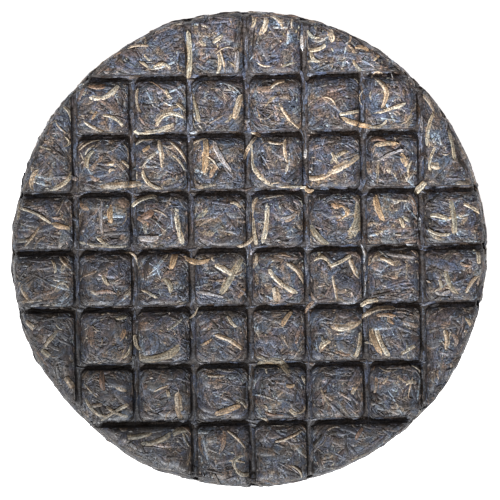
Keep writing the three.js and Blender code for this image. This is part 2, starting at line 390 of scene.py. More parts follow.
@dataclass(frozen=True)
class Grid:
    """The square grid of grooves pressed into the cake, in metres and radians.

    The outermost grooves run on to the rim, as do the middle one and its neighbours. The others stop
    at the outermost grooves, so that two cells there are one.

    Args:
        pitch: From one groove's middle to the next.
        turn: How far the grid is turned, anticlockwise.
        grooves_each_side: Grooves to each side of the one through the middle.
        floor: Half the width of a groove's floor.
        edge: From a groove's middle to the top of its wall.
        shoulder: From a groove's middle to where a cell is flat.
        near_shoulder: The same on a cell's near side, where the edge is sharper.
        corner: The radius of a cell's corners, at the top of its wall.
        curl: The radius on which strips curl round a cell's corners.
        depth: How far the floor lies below the cells.
        edge_depth: How far the top of the wall lies below the cells.
        flank_span: Where a cell's near and far flanks start and end, in pitches from its middle.
        side_shade: How dark the painted shade at the foot of a cell's left and right flanks is, from 0 to
            1.
        far_shade: The same of its far flank.
        near_shade: The same of its near flank.
        shade_end: Where the flank's painted shade starts to end and ends, past the cell's edge.
    """

    pitch: float = 24.15 * MM
    turn: float = math.radians(0.9)
    grooves_each_side: int = 3
    floor: float = 1.1 * MM
    edge: float = 1.4 * MM
    shoulder: float = 6.4 * MM
    near_shoulder: float = 4.2 * MM
    corner: float = 2.2 * MM
    curl: float = 8.0 * MM
    depth: float = 3.5 * MM
    edge_depth: float = 1.4 * MM
    flank_span: Range = (0.2, 0.43)
    side_shade: float = 0.57
    far_shade: float = 0.82
    near_shade: float = 1.0
    shade_end: Range = mm(-0.5, 0.1)

    def turned(self, x: Wire, y: Wire, back: bool = False) -> tuple[Wire, Wire]:
        """Goes from the cake's axes to the grid's, or back.

        Args:
            x: The place's first number.
            y: Its second number.
            back: True to go back to the cake's axes.

        Returns:
            The two numbers in the other axes.
        """
        cosine = math.cos(self.turn)
        sine = math.sin(self.turn) * (-1 if back else 1)
        return x * cosine + y * sine, y * cosine - x * sine

    def off_middle(self, along: Wire, cell: Wire, other: Wire) -> Wire:
        """How far a place is from the middle of a cell along one axis, as a cell's place has it.

        Args:
            along: The place.
            cell: A place in the cell, along the same axis.
            other: The same along the other axis.

        Returns:
            The distance, with a sign.
        """
        last = self.grooves_each_side
        single = (cell / self.pitch).floor().at_most(last).at_least(-last - 1) + 0.5
        is_double = (abs(other) > last * self.pitch) * (abs(single) > 1.0) * (abs(single) < last)
        middle = single + (single.sign() * 2 - single) * is_double
        off = along - middle * self.pitch
        is_outward = (abs(middle) > last) * ((off * middle) > 0.0)
        beyond = (abs(off) - is_double * (self.pitch / 2)).at_least(0.0)
        return off.sign() * beyond * (1 - is_outward)

    def place(self, u: Wire, v: Wire, cell_u: Wire | None = None, cell_v: Wire | None = None) -> CellPlace:
        """Finds a place in its cell, or in the cell of another place.

        Args:
            u: The place along the grid's first axis.
            v: The same along the second.
            cell_u: The first axis of the place whose cell counts, unless it is the place itself.
            cell_v: The same along the second.

        Returns:
            The place in its cell.
        """
        cell_u, cell_v = cell_u or u, cell_v or v
        return CellPlace(self.off_middle(u, cell_u, cell_v), self.off_middle(v, cell_v, cell_u))

    def into_corner(self, place: CellPlace, radius: float) -> tuple[Wire, Wire]:
        """How far a place lies past the straight part of a cell that has corners of some radius."""
        straight = self.pitch / 2 - self.edge - radius
        return abs(place.off_u) - straight, abs(place.off_v) - straight

    def past_edge(self, place: CellPlace) -> Wire:
        """How far a place lies past the top edge of its cell's wall, below 0 inside the cell."""
        over_u, over_v = self.into_corner(place, self.corner)
        outside = over_u.at_least(0.0).length_with(over_v.at_least(0.0))
        return outside + over_u.at_least(over_v).at_most(0.0) - self.corner

    def past_edge_at(self, x: Wire, y: Wire) -> Wire:
        """How far a place, by the cake's axes, lies past the top edge of its cell's wall."""
        return self.past_edge(self.place(*self.turned(x, y)))

    def rounding(self, place: CellPlace, past: Wire) -> tuple[Wire, Wire]:
        """How a cell's shoulder is rounded at a place.

        Args:
            place: The place in its cell.
            past: How far it lies past the cell's edge.

        Returns:
            How far down the shoulder the place is, from 0 to 1, and how low the shoulder's foot lies.
        """
        reach = place.off_v.ramp(-self.pitch / 4, 0.0, self.near_shoulder, self.shoulder) - self.edge
        down = (past / reach + 1).within(0.0, 1.0)
        return down, reach * reach * (self.edge_depth / (self.shoulder - self.edge) ** 2)

    def drop(self, place: CellPlace, past: Wire) -> Wire:
        """How far the pressed face lies below the cells' tops at a place.

        Args:
            place: The place in its cell.
            past: How far it lies past the cell's edge.

        Returns:
            The drop.
        """
        down, foot = self.rounding(place, past)
        wall = past.ramp(0.0, self.edge - self.floor, ease=False)
        return down * down * foot + wall * (self.depth - foot)

    def flank(self, x: Wire, y: Wire) -> Wire:
        """How much painted shade darkens a cell's rounded flank at a place, from 0 to 1, and 0 again on the
        wall.

        Args:
            x: The place, by the cake's axes.
            y: The same.

        Returns:
            The painted shade, which is strongest on the near flank and weakest at the sides.
        """
        place = self.place(*self.turned(x, y))
        past = self.past_edge(place)
        down, _ = self.rounding(place, past)
        on_cell = past.ramp(*self.shade_end, 1.0, 0.0)
        start, end = (share * self.pitch for share in self.flank_span)
        # Painted shade: most on the near flank, less on the far flank, least on the left and right
        behind = place.off_v.ramp(start, end, self.side_shade, self.far_shade)
        before = place.off_v.ramp(-end, -start, self.near_shade - self.side_shade, 0.0)
        return down * on_cell * (behind + before)


@dataclass(frozen=True)
class Finish:
    """What every finish of leaf has: a roughness and a relief that follow the same fine pattern, and
    painted light and shade by place.

    Args:
        name: The material's name.
        roughness: The lowest and highest roughness.
        relief: How deep the fine relief is, in metres.
        flank: How much darker the painted shade makes the leaf low on a cell's flank and on the rim's near
            side.
        ends: How bright the painted light makes it at the cake's near side and at its far side, in times
            its usual brightness.
        fall: Where the painted light's near-side brightness ends and where the far side's starts.
        sideways: How much the painted light's far side lies to the right, where 0 is straight away.
        inward: How much the middle counts as farther than the sides in the painted light, to a metre, so
            that the sides are darker.
    """

    name: str
    roughness: Range = (0.42, 0.68)
    relief: float = 0.2 * MM
    flank: float = 0.7
    ends: Range = (0.40, 1.46)
    fall: Range = mm(-110, 62)
    sideways: float = 0.4
    inward: float = 6.0

    def started(self) -> tuple[bpy.types.Material, Graph]:
        """Makes an empty material.

        Returns:
            The material and its graph.
        """
        material = bpy.data.materials.new(self.name)
        material.use_nodes = True
        return material, Graph(material.node_tree)

    def finished(self, graph: Graph, colour: Wire, pattern: Wire) -> None:
        """Gives the shader its colour, darkened and lightened by painted shade and painted light, and its
        roughness and relief.

        Args:
            graph: The material's graph.
            colour: The colour.
            pattern: The fine pattern, about 0 to 1.
        """
        shader = graph.tree.nodes["Principled BSDF"]
        low, high = self.roughness
        bump = graph.node("ShaderNodeBump", values={"Height": pattern, "Distance": self.relief})
        x, y, _ = graph.split(graph.object_place())
        # Painted light: brighter towards the far side and the middle, darker towards the near side and the
        # left and right; painted shade where the flank attribute says
        away = y + x * self.sideways - x * x * self.inward
        flank = graph.attribute("flank")
        shade = (1 - flank * self.flank) * away.ramp(*self.fall, *self.ends, ease=False)
        dressing = {
            "Base Color": graph.scaled(colour, shade),
            "Roughness": pattern.ramp(*NOISE_SPAN, high, low),
            "Normal": bump,
        }
        for name, wire in dressing.items():
            graph.tree.links.new(wire.socket, shader.inputs[name])


@dataclass(frozen=True)
class LeafGrain:
    """The fine patterns that every leaf has. Scales are in lumps to a metre.

    Args:
        veins: Scales of the veins along a strip, across it and from tint to tint.
        streaks: The same of the brown streaks.
        mottle: The scale of the mottling.
        patches: The scale of the patches of hue.
        specks: The scale of the flecks and pits.
        vein_strength: How strongly the veins vary the brightness.
        mottle_strength: How strongly the mottling does.
        fleck_span: The noise from which a fleck starts and at which it is full.
        pit_span: The noise up to which a pit, a speck of painted shade, is full and at which it ends.
        pit_shade: How bright a pit's painted shade is.
        line_start: Where the painted highlight near an edge starts and is full, from the strip's middle.
        line_end: Where it begins to end and ends.
        edge_span: Where the dark edge starts and is full: a dark outline, partly painted shade between
            strips.
        edge_shade: How bright the dark edge is.
        least: The least brightness of all.
        streak_span: The noise from which a brown streak starts and at which it is full.
        brown: What a brown streak multiplies the colour by.
        casts: What the two casts, from strip to strip, multiply it by.
        cast_turns: How often the cast goes from one to the other while the tint goes from 0 to 1.
        patch_span: The noise at which a patch is coolest and at which it is warmest.
        hues: What cool and warm patches multiply it by.
    """

    veins: Triple = (240, 1500, 90)
    streaks: Triple = (150, 1300, 70)
    mottle: float = 1500
    patches: float = 260
    specks: float = 1900
    vein_strength: float = 3.4
    mottle_strength: float = 6.4
    fleck_span: Range = (0.58, 0.7)
    pit_span: Range = (0.3, 0.42)
    pit_shade: float = 0.25
    line_start: Range = (0.35, 0.62)
    line_end: Range = (0.72, 0.9)
    edge_span: Range = (0.78, 1.0)
    edge_shade: float = 0.25
    least: float = 0.1
    streak_span: Range = (0.44, 0.6)
    brown: Colour = (0.58, 0.47, 0.37)
    casts: tuple[Colour, Colour] = ((0.96, 1.03, 0.98), (1.04, 0.97, 1.02))
    cast_turns: float = 53
    patch_span: Range = (0.38, 0.62)
    hues: tuple[Colour, Colour] = ((0.78, 0.99, 1.26), (1.17, 0.99, 0.80))


@dataclass(frozen=True)
class LeafFinish(Finish):
    """The finish of one kind of leaf, which reads each strip's own tint, length and width.

    Args:
        tones: Colours that the strips' tints run through, each with its place from 0 to 1.
        contrast: How strongly the colour varies along the grain.
        edge_line: How much lighter the painted highlight, a thin line near each edge, is.
        stain: How brown the streaks along a strip are, from 0 to 1.
        motley: How strongly the hue changes from patch to patch and from strip to strip, from 0 to 1.
        flecks: How much lighter the flecks are.
        steps: True where a tint takes one tone or the next, with none between.
        grain: The fine patterns.
    """

    tones: Stops = ((0.0, Tone.SLATE),)
    contrast: float = 1.0
    edge_line: float = 0.6
    stain: float = 0.0
    motley: float = 1.0
    flecks: float = 1.2
    steps: bool = False
    grain: LeafGrain = LeafGrain()

    def tone(self, graph: Graph, tint: Wire) -> Wire:
        """The strip's own colour, by its tint."""
        settings = {"interpolation": "CONSTANT" if self.steps else "LINEAR", "stops": self.tones}
        return graph.node("ShaderNodeValToRGB", settings, {"Fac": tint}, "Color")

    def brightness(self, graph: Graph, across: Wire, veins: Wire, mottle: Wire) -> Wire:
        """How bright the leaf is at a place, in times its tone, with a painted highlight near each edge and
        painted shade at the edge and in pits.

        Args:
            graph: The material's graph.
            across: How far across the strip the place is, from -1 to 1.
            veins: The pattern of veins.
            mottle: The pattern of mottling.

        Returns:
            The brightness.
        """
        grain = self.grain
        specks = graph.noise(graph.object_place(), grain.specks)
        fleck = specks.ramp(*grain.fleck_span)
        # Pits: dark specks of painted shade
        pit = specks.ramp(*grain.pit_span, grain.pit_shade, 1.0)
        off = abs(across)
        # Painted highlight near each edge, and at the edge itself a dark outline that is partly painted
        # shade
        line = off.ramp(*grain.line_start) * off.ramp(*grain.line_end, 1.0, 0.0) * self.edge_line
        outline_and_painted_shade = off.ramp(*grain.edge_span, 1.0, grain.edge_shade)
        variation = (veins - 0.5) * grain.vein_strength + (mottle - 0.5) * grain.mottle_strength
        lit = variation * self.contrast + 1 + fleck * self.flecks + line
        return (lit * outline_and_painted_shade * pit).at_least(grain.least)

    def hue(self, graph: Graph, tint: Wire) -> Wire:
        """What the patches and the strip's own cast multiply its colour by.

        Args:
            graph: The material's graph.
            tint: The strip's tint.

        Returns:
            The multiplier, as a colour.
        """
        patches = graph.noise(graph.object_place(), self.grain.patches, detail=3.0, roughness=0.6)
        cast = graph.mixed(graph.math("FRACT", tint * self.grain.cast_turns), *self.grain.casts)
        patch = graph.mixed(patches.ramp(*self.grain.patch_span), *self.grain.hues)
        return graph.mixed(self.motley, (1.0, 1.0, 1.0), graph.vector_math("MULTIPLY", patch, cast))

    def build(self) -> bpy.types.Material:
        """Makes the material.

        Returns:
            The material.
        """
        material, graph = self.started()
        names = ("reach", "side", "tint", "across")
        reach, side, tint, across = (graph.attribute(name) for name in names)
        veins = graph.noise(graph.spread((reach, side, tint), self.grain.veins), detail=2.0, roughness=0.6)
        streaks = graph.noise(graph.spread((reach, side, tint), self.grain.streaks))
        mottle = graph.noise(graph.object_place(), self.grain.mottle, detail=2.0, roughness=0.7)
        toned = graph.vector_math("MULTIPLY", self.tone(graph, tint), self.hue(graph, tint))
        browned = graph.vector_math("MULTIPLY", toned, self.grain.brown)
        streaked = graph.mixed(streaks.ramp(*self.grain.streak_span) * self.stain, toned, browned)
        brightness = self.brightness(graph, across, veins, mottle)
        self.finished(graph, graph.scaled(streaked, brightness), veins * 0.5 + mottle * 0.5)
        return material


@dataclass(frozen=True)
class PressedFinish(Finish):
    """The finish of the pressed body between the strips.

    Args:
        dark: The colour painted in the crevices as their shade.
        brown: The colour of its warmer patches.
        light: The colour of its cooler patches.
        scales: Lumps to a metre in the patches, in the coarse pattern and in the fine one.
        coarse_share: How much of the pattern is the coarse one.
        patch_span: The noise at which a patch is warmest and at which it is coolest.
        leaf_span: The pattern up to which a place is a crevice, in painted shade, and from which it is
            leaf.
    """

    name: str = "pressed_leaf"
    roughness: Range = (0.4, 0.7)
    relief: float = 0.3 * MM
    # Stronger painted light, from darker at the near side to brighter at the far side
    ends: Range = (0.3, 1.5)
    dark: Tone = Tone.SOOT
    brown: Tone = Tone.BARK
    light: Tone = Tone.SLATE
    scales: Triple = (160, 700, 1500)
    coarse_share: float = 0.6
    patch_span: Range = (0.4, 0.6)
    leaf_span: Range = (0.42, 0.6)

    def build(self) -> bpy.types.Material:
        """Makes the material.

        Returns:
            The material.
        """
        material, graph = self.started()
        place = graph.object_place()
        patch_scale, coarse_scale, fine_scale = self.scales
        patches = graph.noise(place, patch_scale, detail=2.0, roughness=0.6)
        coarse = graph.noise(place, coarse_scale, detail=3.0, roughness=0.65)
        fine = graph.noise(place, fine_scale, detail=2.0, roughness=0.6)
        pattern = coarse * self.coarse_share + fine * (1 - self.coarse_share)
        leaf = graph.mixed(patches.ramp(*self.patch_span), self.brown.value, self.light.value)
        # Painted shade: where the pattern is low, as the bump makes the crevices, the colour is the dark
        # one
        colour = graph.mixed(pattern.ramp(*self.leaf_span), self.dark.value, leaf)
        self.finished(graph, colour, pattern)
        return material


@dataclass(frozen=True)
class Swell:
    """A place round the outline where something is larger.

    Args:
        at: The middle, in degrees.
        spread: How far it reaches, in degrees.
        size: How much larger, in the unit of what it changes.
    """

    at: float
    spread: float
    size: float

    def over(self, angle: np.ndarray) -> np.ndarray:
        """How much it adds at some angles in radians."""
        away = (np.degrees(angle) - self.at + 540) % 360 - 180
        return self.size * np.exp(-0.5 * (away / self.spread) ** 2)


@dataclass
class PressedBody:
    """The pressed disc under the strips, whose top is scored by Geometry Nodes.

    Args:
        radius: The outline's radius.
        grid: The grid of grooves.
        top: The height of the cells.
        belly: The height of the widest ring.
        underside: The height of the body's underside, which the lowest strips reach below.
        crumple: How far the pressed leaf rises and falls on the face.
        lump_scale: Lumps of it to a metre.
        calm_floor: How much of it is missing on a groove's floor.
        ragged: How far the cells' edges wander.
        hollow: How far the side is pressed in, at most.
        rag_scale: Lumps to a metre along the edges and on the side.
        notch: How far a groove's end cuts into the side.
        notch_reach: How far in from the outline it starts to cut in, and where it does so in full.
        faint: Where the grooves grow faint at the far rim, from the middle, as shares of the radius.
        faintest: How much of a groove's depth is left there.
        rim_dark: How dark the painted shade makes the rim at the near side, from 0 to 1.
        rim_fade: Where that starts to fade and is gone, from the middle, as shares of the radius.
        near_lines: Lines of the sheet beside each groove, from its middle.
        line_step: How far apart the other lines are.
        margin: How far past the outline the sheet is ruled before it is trimmed.
        shoulder: Insets from the outline and heights, from above the cells down to the sheet's edge.
        side: The same from below the sheet's edge down to the underside.
        wide_shoulders: Where the shoulder is wider, in times its usual width.
        outline_swells: Where the outline swells or dips, in metres.
    """

    radius: float
    grid: Grid
    top: float = 13.5 * MM
    belly: float = 5.6 * MM
    underside: float = 0.5 * MM
    crumple: float = 0.7 * MM
    lump_scale: float = 130
    calm_floor: float = 0.7
    ragged: float = 0.8 * MM
    hollow: float = 0.7 * MM
    rag_scale: float = 300
    notch: float = 0.8 * MM
    notch_reach: Range = mm(8, 1)
    faint: Range = (0.78, 0.94)
    faintest: float = 0.25
    rim_dark: float = 0.6
    rim_fade: Range = (-0.5, 0.7)
    near_lines: tuple[float, ...] = (0.6 * MM, 1.2 * MM, 1.5 * MM, 1.9 * MM, 2.5 * MM, 3.2 * MM)
    line_step: float = 0.8 * MM
    margin: float = 3 * MM
    shoulder: Section = ((7.0, 15.6), (4.8, 14.5), (3.1, 13.3), (2.0, 12.2), (1.3, 11.0))
    side: Section = (
        (0.8, 9.8), (0.4, 8.3), (0.12, 6.9), (0.0, 5.6), (0.1, 4.4),
        (0.4, 3.2), (0.9, 2.1), (1.8, 1.2), (3.4, 0.7), (5.5, 0.5),
    )
    wide_shoulders: tuple[Swell, ...] = (Swell(31, 15, 1.5), Swell(213, 16, 1.5))
    outline_swells: tuple[Swell, ...] = (
        Swell(110, 3.5, 1.2 * MM), Swell(200, 3, 1.1 * MM), Swell(208, 3, 0.9 * MM),
        Swell(243, 4, 0.8 * MM), Swell(167, 5, -0.7 * MM), Swell(322, 6, 0.5 * MM),
    )
    made: bpy.types.Object | None = field(default=None, init=False)

    def outline(self, angle: np.ndarray) -> np.ndarray:
        """The outline's radius at some angles."""
        return self.radius + sum(swell.over(angle) for swell in self.outline_swells)

    def widening(self, angle: np.ndarray) -> np.ndarray:
        """How many times wider than usual the shoulder is at some angles."""
        return 1 + sum(swell.over(angle) for swell in self.wide_shoulders)

    def rulings(self) -> np.ndarray:
        """The sheet's lines along one axis, close together at the grooves' walls."""
        half = self.grid.pitch / 2
        spread = np.arange(self.near_lines[-1] + self.line_step, half, self.line_step)
        beside = np.concatenate([[0.0], self.near_lines, spread])
        last = self.grid.grooves_each_side
        grooves = np.arange(-last, last + 1) * self.grid.pitch
        outer = np.arange((last + 0.5) * self.grid.pitch, self.radius + self.margin, self.line_step)
        sides = [np.add.outer(grooves, beside).ravel(), np.subtract.outer(grooves, beside).ravel()]
        return np.unique(np.round(np.concatenate([*sides, outer, -outer]), 6))

    def sheet(self) -> tuple[np.ndarray, np.ndarray, np.ndarray]:
        """The sheet over the top and the shoulder, ruled along the grooves and trimmed to the outline.

        Returns:
            Its points, its squares' corners, and its outermost points in order round the cake.
        """
        lines = self.rulings()
        u, v = (side.ravel() for side in np.meshgrid(lines, lines))
        x = u * math.cos(self.grid.turn) - v * math.sin(self.grid.turn)
        y = u * math.sin(self.grid.turn) + v * math.cos(self.grid.turn)
        angle = np.arctan2(y, x)
        radius = np.hypot(x, y)
        limit = self.outline(angle) - self.shoulder[-1][0] * MM * self.widening(angle)
        corner = np.arange(len(u)).reshape(len(lines), len(lines))
        sides = [corner[:-1, :-1], corner[:-1, 1:], corner[1:, 1:], corner[1:, :-1]]
        squares = np.stack(sides, -1).reshape(-1, 4)
        is_inside = radius < limit + self.line_step / 3
        squares = squares[is_inside[squares].all(axis=1)]
        uses = np.bincount(squares.ravel(), minlength=len(u))
        is_edge = (uses > 0) & (uses < 4)
        radius = np.where(is_edge, limit, np.minimum(radius, limit))
        insets, heights = (MM * np.array(numbers) for numbers in zip(*self.shoulder[::-1]))
        inset = (self.outline(angle) - radius) / self.widening(angle)
        height = np.interp(inset, insets, heights)
        points = np.stack([radius * np.cos(angle), radius * np.sin(angle), height], 1)
        kept = np.flatnonzero(uses)
        place = np.zeros(len(u), int)
        place[kept] = np.arange(len(kept))
        edge = np.flatnonzero(is_edge)
        return points[kept], place[squares], place[edge[np.argsort(angle[edge])]]

    def plain_disc(self) -> bpy.types.Mesh:
        """The disc before it is scored: the sheet, the side below it and the flat underside.

        Returns:
            A closed mesh.
        """
        points, squares, loop = self.sheet()
        angle = np.arctan2(points[loop, 1], points[loop, 0])
        parts, faces, upper = [points], squares.tolist(), loop
        total = len(points)
        for inset, height in self.side:
            widening = self.widening(angle) if height * MM > self.belly else 1.0
            radius = self.outline(angle) - inset * MM * widening
            level = np.full(len(loop), height * MM)
            parts.append(np.stack([radius * np.cos(angle), radius * np.sin(angle), level], 1))
            lower = np.arange(total, total + len(loop))
            faces += np.stack([upper, lower, np.roll(lower, -1), np.roll(upper, -1)], 1).tolist()
            upper = lower
            total += len(loop)
        faces.append(upper[::-1].tolist())
        mesh = bpy.data.meshes.new("plain_disc")
        mesh.from_pydata(np.concatenate(parts).tolist(), [], faces)
        return mesh

    def painted_rim_shade(self, y: Wire) -> Wire:
        """How dark the painted shade makes the rim at a place, from 0 at the far side to 1."""
        return y.ramp(*(share * self.radius for share in self.rim_fade), self.rim_dark, 0.0)

    def inputs(self) -> dict[str, float]:
        """The numbers that the scoring takes."""
        return {"Top": self.top, "Crumple": self.crumple, "Notch": self.notch}

    def scoring(self) -> bpy.types.NodeTree:
        """The Geometry Nodes that press the grid into the top, notch the side and crumple the leaf.

        Returns:
            The tree.
        """
        tree = new_tree("score_grid", self.inputs())
        graph = Graph(tree)
        top, crumple, notch = (source_input(graph, name) for name in ("Top", "Crumple", "Notch"))
        position = graph.position()
        x, y, z = graph.split(position)
        radius = x.length_with(y).at_least(MM)
        rags = graph.noise(position, self.rag_scale, detail=2.0, roughness=0.6)
        place = self.grid.place(*self.grid.turned(x, y))
        past = self.grid.past_edge(place) + (rags - 0.5) * self.ragged
        kept = y.ramp(*(share * self.radius for share in self.faint), 1.0, self.faintest)
        in_groove = past.ramp(0.0, self.grid.edge - self.grid.floor)
        lumps = graph.noise(position, self.lump_scale, detail=4.0, roughness=0.6)
        face = (top - self.grid.drop(place, past) * kept).at_most(z)
        pressed = face + (lumps - 0.5) * 2 * crumple * (1 - in_groove * self.calm_floor)
        is_top = z > self.shoulder[-1][1] * MM - SLACK
        height = z + (pressed - z) * is_top
        near_outline = radius.ramp(*(self.radius - inset for inset in self.notch_reach))
        at_rim = near_outline * z.ramp(self.belly / 2, self.belly * 1.5)
        is_side = (1 - is_top) * (z > self.underside + SLACK)
        hollows = graph.noise(position, self.rag_scale, detail=3.0, roughness=0.6)
        inward = 1 - (in_groove * kept * at_rim * notch + hollows * self.hollow * is_side) / radius
        pressed_in = graph.joined(x * inward, y * inward, height)
        # Painted shade: low on the cells' flanks, and on the rim towards its near side
        flank = self.grid.flank(x, y) * is_top + self.painted_rim_shade(y) * (1 - is_top)
        disc = graph.stored(source_input(graph, "Geometry"), "flank", flank)
        close_tree(graph, graph.moved(disc, pressed_in), PressedFinish().build())
        return tree

    def build(self) -> bpy.types.Object:
        """Makes the body and puts it in place of the solid.

        Returns:
            The body.
        """
        disc = bpy.data.objects.new("plain_disc", self.plain_disc())
        self.made = settled(disc, self.scoring(), "pressed_body", self.inputs())
        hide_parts(NODE_NAME)
        return self.made


def new_tree(name: str, inputs: dict[str, float | int]) -> bpy.types.NodeTree:
    """Starts a Geometry Nodes tree.

    Args:
        name: The tree's name.
        inputs: Its numbers, by name.

    Returns:
        The tree, with its group input named Source.
    """
    tree = bpy.data.node_groups.new(name, "GeometryNodeTree")
    tree.interface.new_socket("Geometry", in_out="OUTPUT", socket_type="NodeSocketGeometry")
    tree.interface.new_socket("Geometry", in_out="INPUT", socket_type="NodeSocketGeometry")
    for key, value in inputs.items():
        kind = "NodeSocketInt" if isinstance(value, int) else "NodeSocketFloat"
        tree.interface.new_socket(key, in_out="INPUT", socket_type=kind)
    tree.nodes.new("NodeGroupInput").name = "Source"
    return tree


def source_input(graph: Graph, name: str) -> Wire:
    """One of a Geometry Nodes tree's own inputs."""
    return Wire(graph, graph.tree.nodes["Source"].outputs[name])


def close_tree(graph: Graph, geometry: Wire, material: bpy.types.Material) -> None:
    """Ends a Geometry Nodes tree with realised, smooth and dressed geometry.

    Args:
        graph: The graph.
        geometry: What it has made.
        material: The finish.
    """
    realised = graph.node("GeometryNodeRealizeInstances", values={0: geometry})
    smooth = graph.node("GeometryNodeSetShadeSmooth", values={"Geometry": realised})
    dressed = graph.node("GeometryNodeSetMaterial", values={"Geometry": smooth, "Material": material})
    output = graph.tree.nodes.new("NodeGroupOutput")
    graph.tree.links.new(dressed.socket, output.inputs[0])


def settled(
    start: bpy.types.Object, tree: bpy.types.NodeTree, name: str, inputs: dict[str, float | int]
) -> bpy.types.Object:
    """Runs a tree on an object and keeps the result as a plain mesh that rides on the cake.

    Args:
        start: The object that the tree starts from, which is removed.
        tree: The tree.
        name: The name of the finished piece.
        inputs: The tree's numbers, by name.

    Returns:
        The finished piece, at the origin.
    """
    bpy.context.scene.collection.objects.link(start)
    modifier = start.modifiers.new(tree.name, "NODES")
    modifier.node_group = tree
    for item in tree.interface.items_tree:
        if item.in_out == "INPUT" and item.name in inputs:
            modifier[item.identifier] = inputs[item.name]
    depsgraph = bpy.context.evaluated_depsgraph_get()
    evaluated = start.evaluated_get(depsgraph)
    mesh = bpy.data.meshes.new_from_object(evaluated, preserve_all_data_layers=True, depsgraph=depsgraph)
    mesh.name = name
    bpy.data.objects.remove(start)
    piece = bpy.data.objects.new(name, mesh)
    bpy.context.scene.collection.objects.link(piece)
    bpy.context.view_layer.update()
    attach(piece, "root")
    LOG.info("%s: %d faces", piece.name, len(piece.data.polygons))
    return piece


@dataclass(frozen=True)
class StripForm:
    """What the strips of every layer have in common in their form. Scales are in lumps to a metre.

    Args:
        crowding: The power that crowds the points across a strip towards its edges.
        blunt: The power that keeps a strip broad until close to its tips.
        wander: Scales of the middle line's wander along a strip and from tint to tint.
        swelling: Scales of the width's changes along a strip, from tint to tint and across it.
        crinkle: Scales of the crinkles along a strip, across it and from tint to tint.
        crinkle_share: How high the crinkles are, as a share of the thickness.
        crown_power: The power that keeps a strip high until close to its edges.
        edge_fall: How far it falls at the edges, as a share of the thickness.
        tip_fall: The same at the tips.
        rolls: How often the roll goes from one side to the other while the tint goes from 0 to 1.
    """

    crowding: float = 0.45
    blunt: float = 2.4
    wander: tuple[float, float] = (130, 77)
    swelling: Triple = (300, 55, 0.7)
    crinkle: Triple = (260, 500, 99)
    crinkle_share: float = 1.6
    crown_power: float = 6
    edge_fall: float = 1.6
    tip_fall: float = 1.2
    rolls: float = 37


@dataclass(frozen=True)
class Settling:
    """How the strips of every layer settle on the cake. Scales are in lumps to a metre.

    Args:
        disc_corners: Corners of the disc that the strips of a face are scattered on.
        disc_inset: How far inside the outline that disc ends.
        bundle_scale: The scale of the bundles in which strips lie the same way.
        freedom: How far a strip turns out of its bundle, before the layer's order is taken off.
        edge_slant: How far a strip along a cell's edge slants from it, at most, in radians.
        groove_slant: The same of a strip along a groove.
        follow_span: Where strips start to lie along the edge and where all may, in times the curl's
            radius.
        round_freedom: How far a strip turns out of the rim's way, before the order is taken off.
        tint_scale: The scale of the patches of tint.
        tint_strength: How much they change a strip's tint.
        calm_scale: The scale of the calm places.
        calm_span: The noise from which a place is calm and at which it is wholly so.
        pull: How far inside a cell's edge what passes it is pulled to.
        deepest: How far inside the edge a place still counts, when a face is judged by its corners.
        sag: How far what is pulled sinks, as a share of how far it had passed.
        sag_end: What it had passed by where it sinks no further.
        overhang: What a face may have passed the edge by without being dropped.
        fall: The height that the strips of a face fall from.
        rim_band: How far in from the outline the rim's strips start.
        rim_foot: The height that they start at.
        rim_slope: How far the surface there may face up, from 0 to 1.
        open_height: The height that the grooves' ends stay open from.
        middle_gap: How far from a groove's wall a strip's middle keeps there.
        gap: How far the rest of the strip keeps.
        under_inset: How far inside the outline the underside's strips end.
        bevel_inset: How far inside it the underside begins to rise.
        bevel_slope: How steeply it rises.
    """

    disc_corners: int = 96
    disc_inset: float = 0.6 * MM
    bundle_scale: float = 70
    freedom: float = 1.3
    edge_slant: float = 0.22
    groove_slant: float = 0.15
    follow_span: Range = (0.3, 0.8)
    round_freedom: float = 1.1
    tint_scale: float = 60
    tint_strength: float = 1.1
    calm_scale: float = 70
    calm_span: Range = (0.48, 0.6)
    pull: float = 0.1 * MM
    deepest: float = 1.5 * MM
    sag: float = 0.6
    sag_end: float = 0.8 * MM
    overhang: float = 0.55 * MM
    fall: float = 50 * MM
    rim_band: float = 8 * MM
    rim_foot: float = 1 * MM
    rim_slope: float = 0.7
    open_height: float = 8 * MM
    middle_gap: float = 0.5 * MM
    gap: float = 0.2 * MM
    under_inset: float = 4 * MM
    bevel_inset: float = 6 * MM
    bevel_slope: float = 0.12


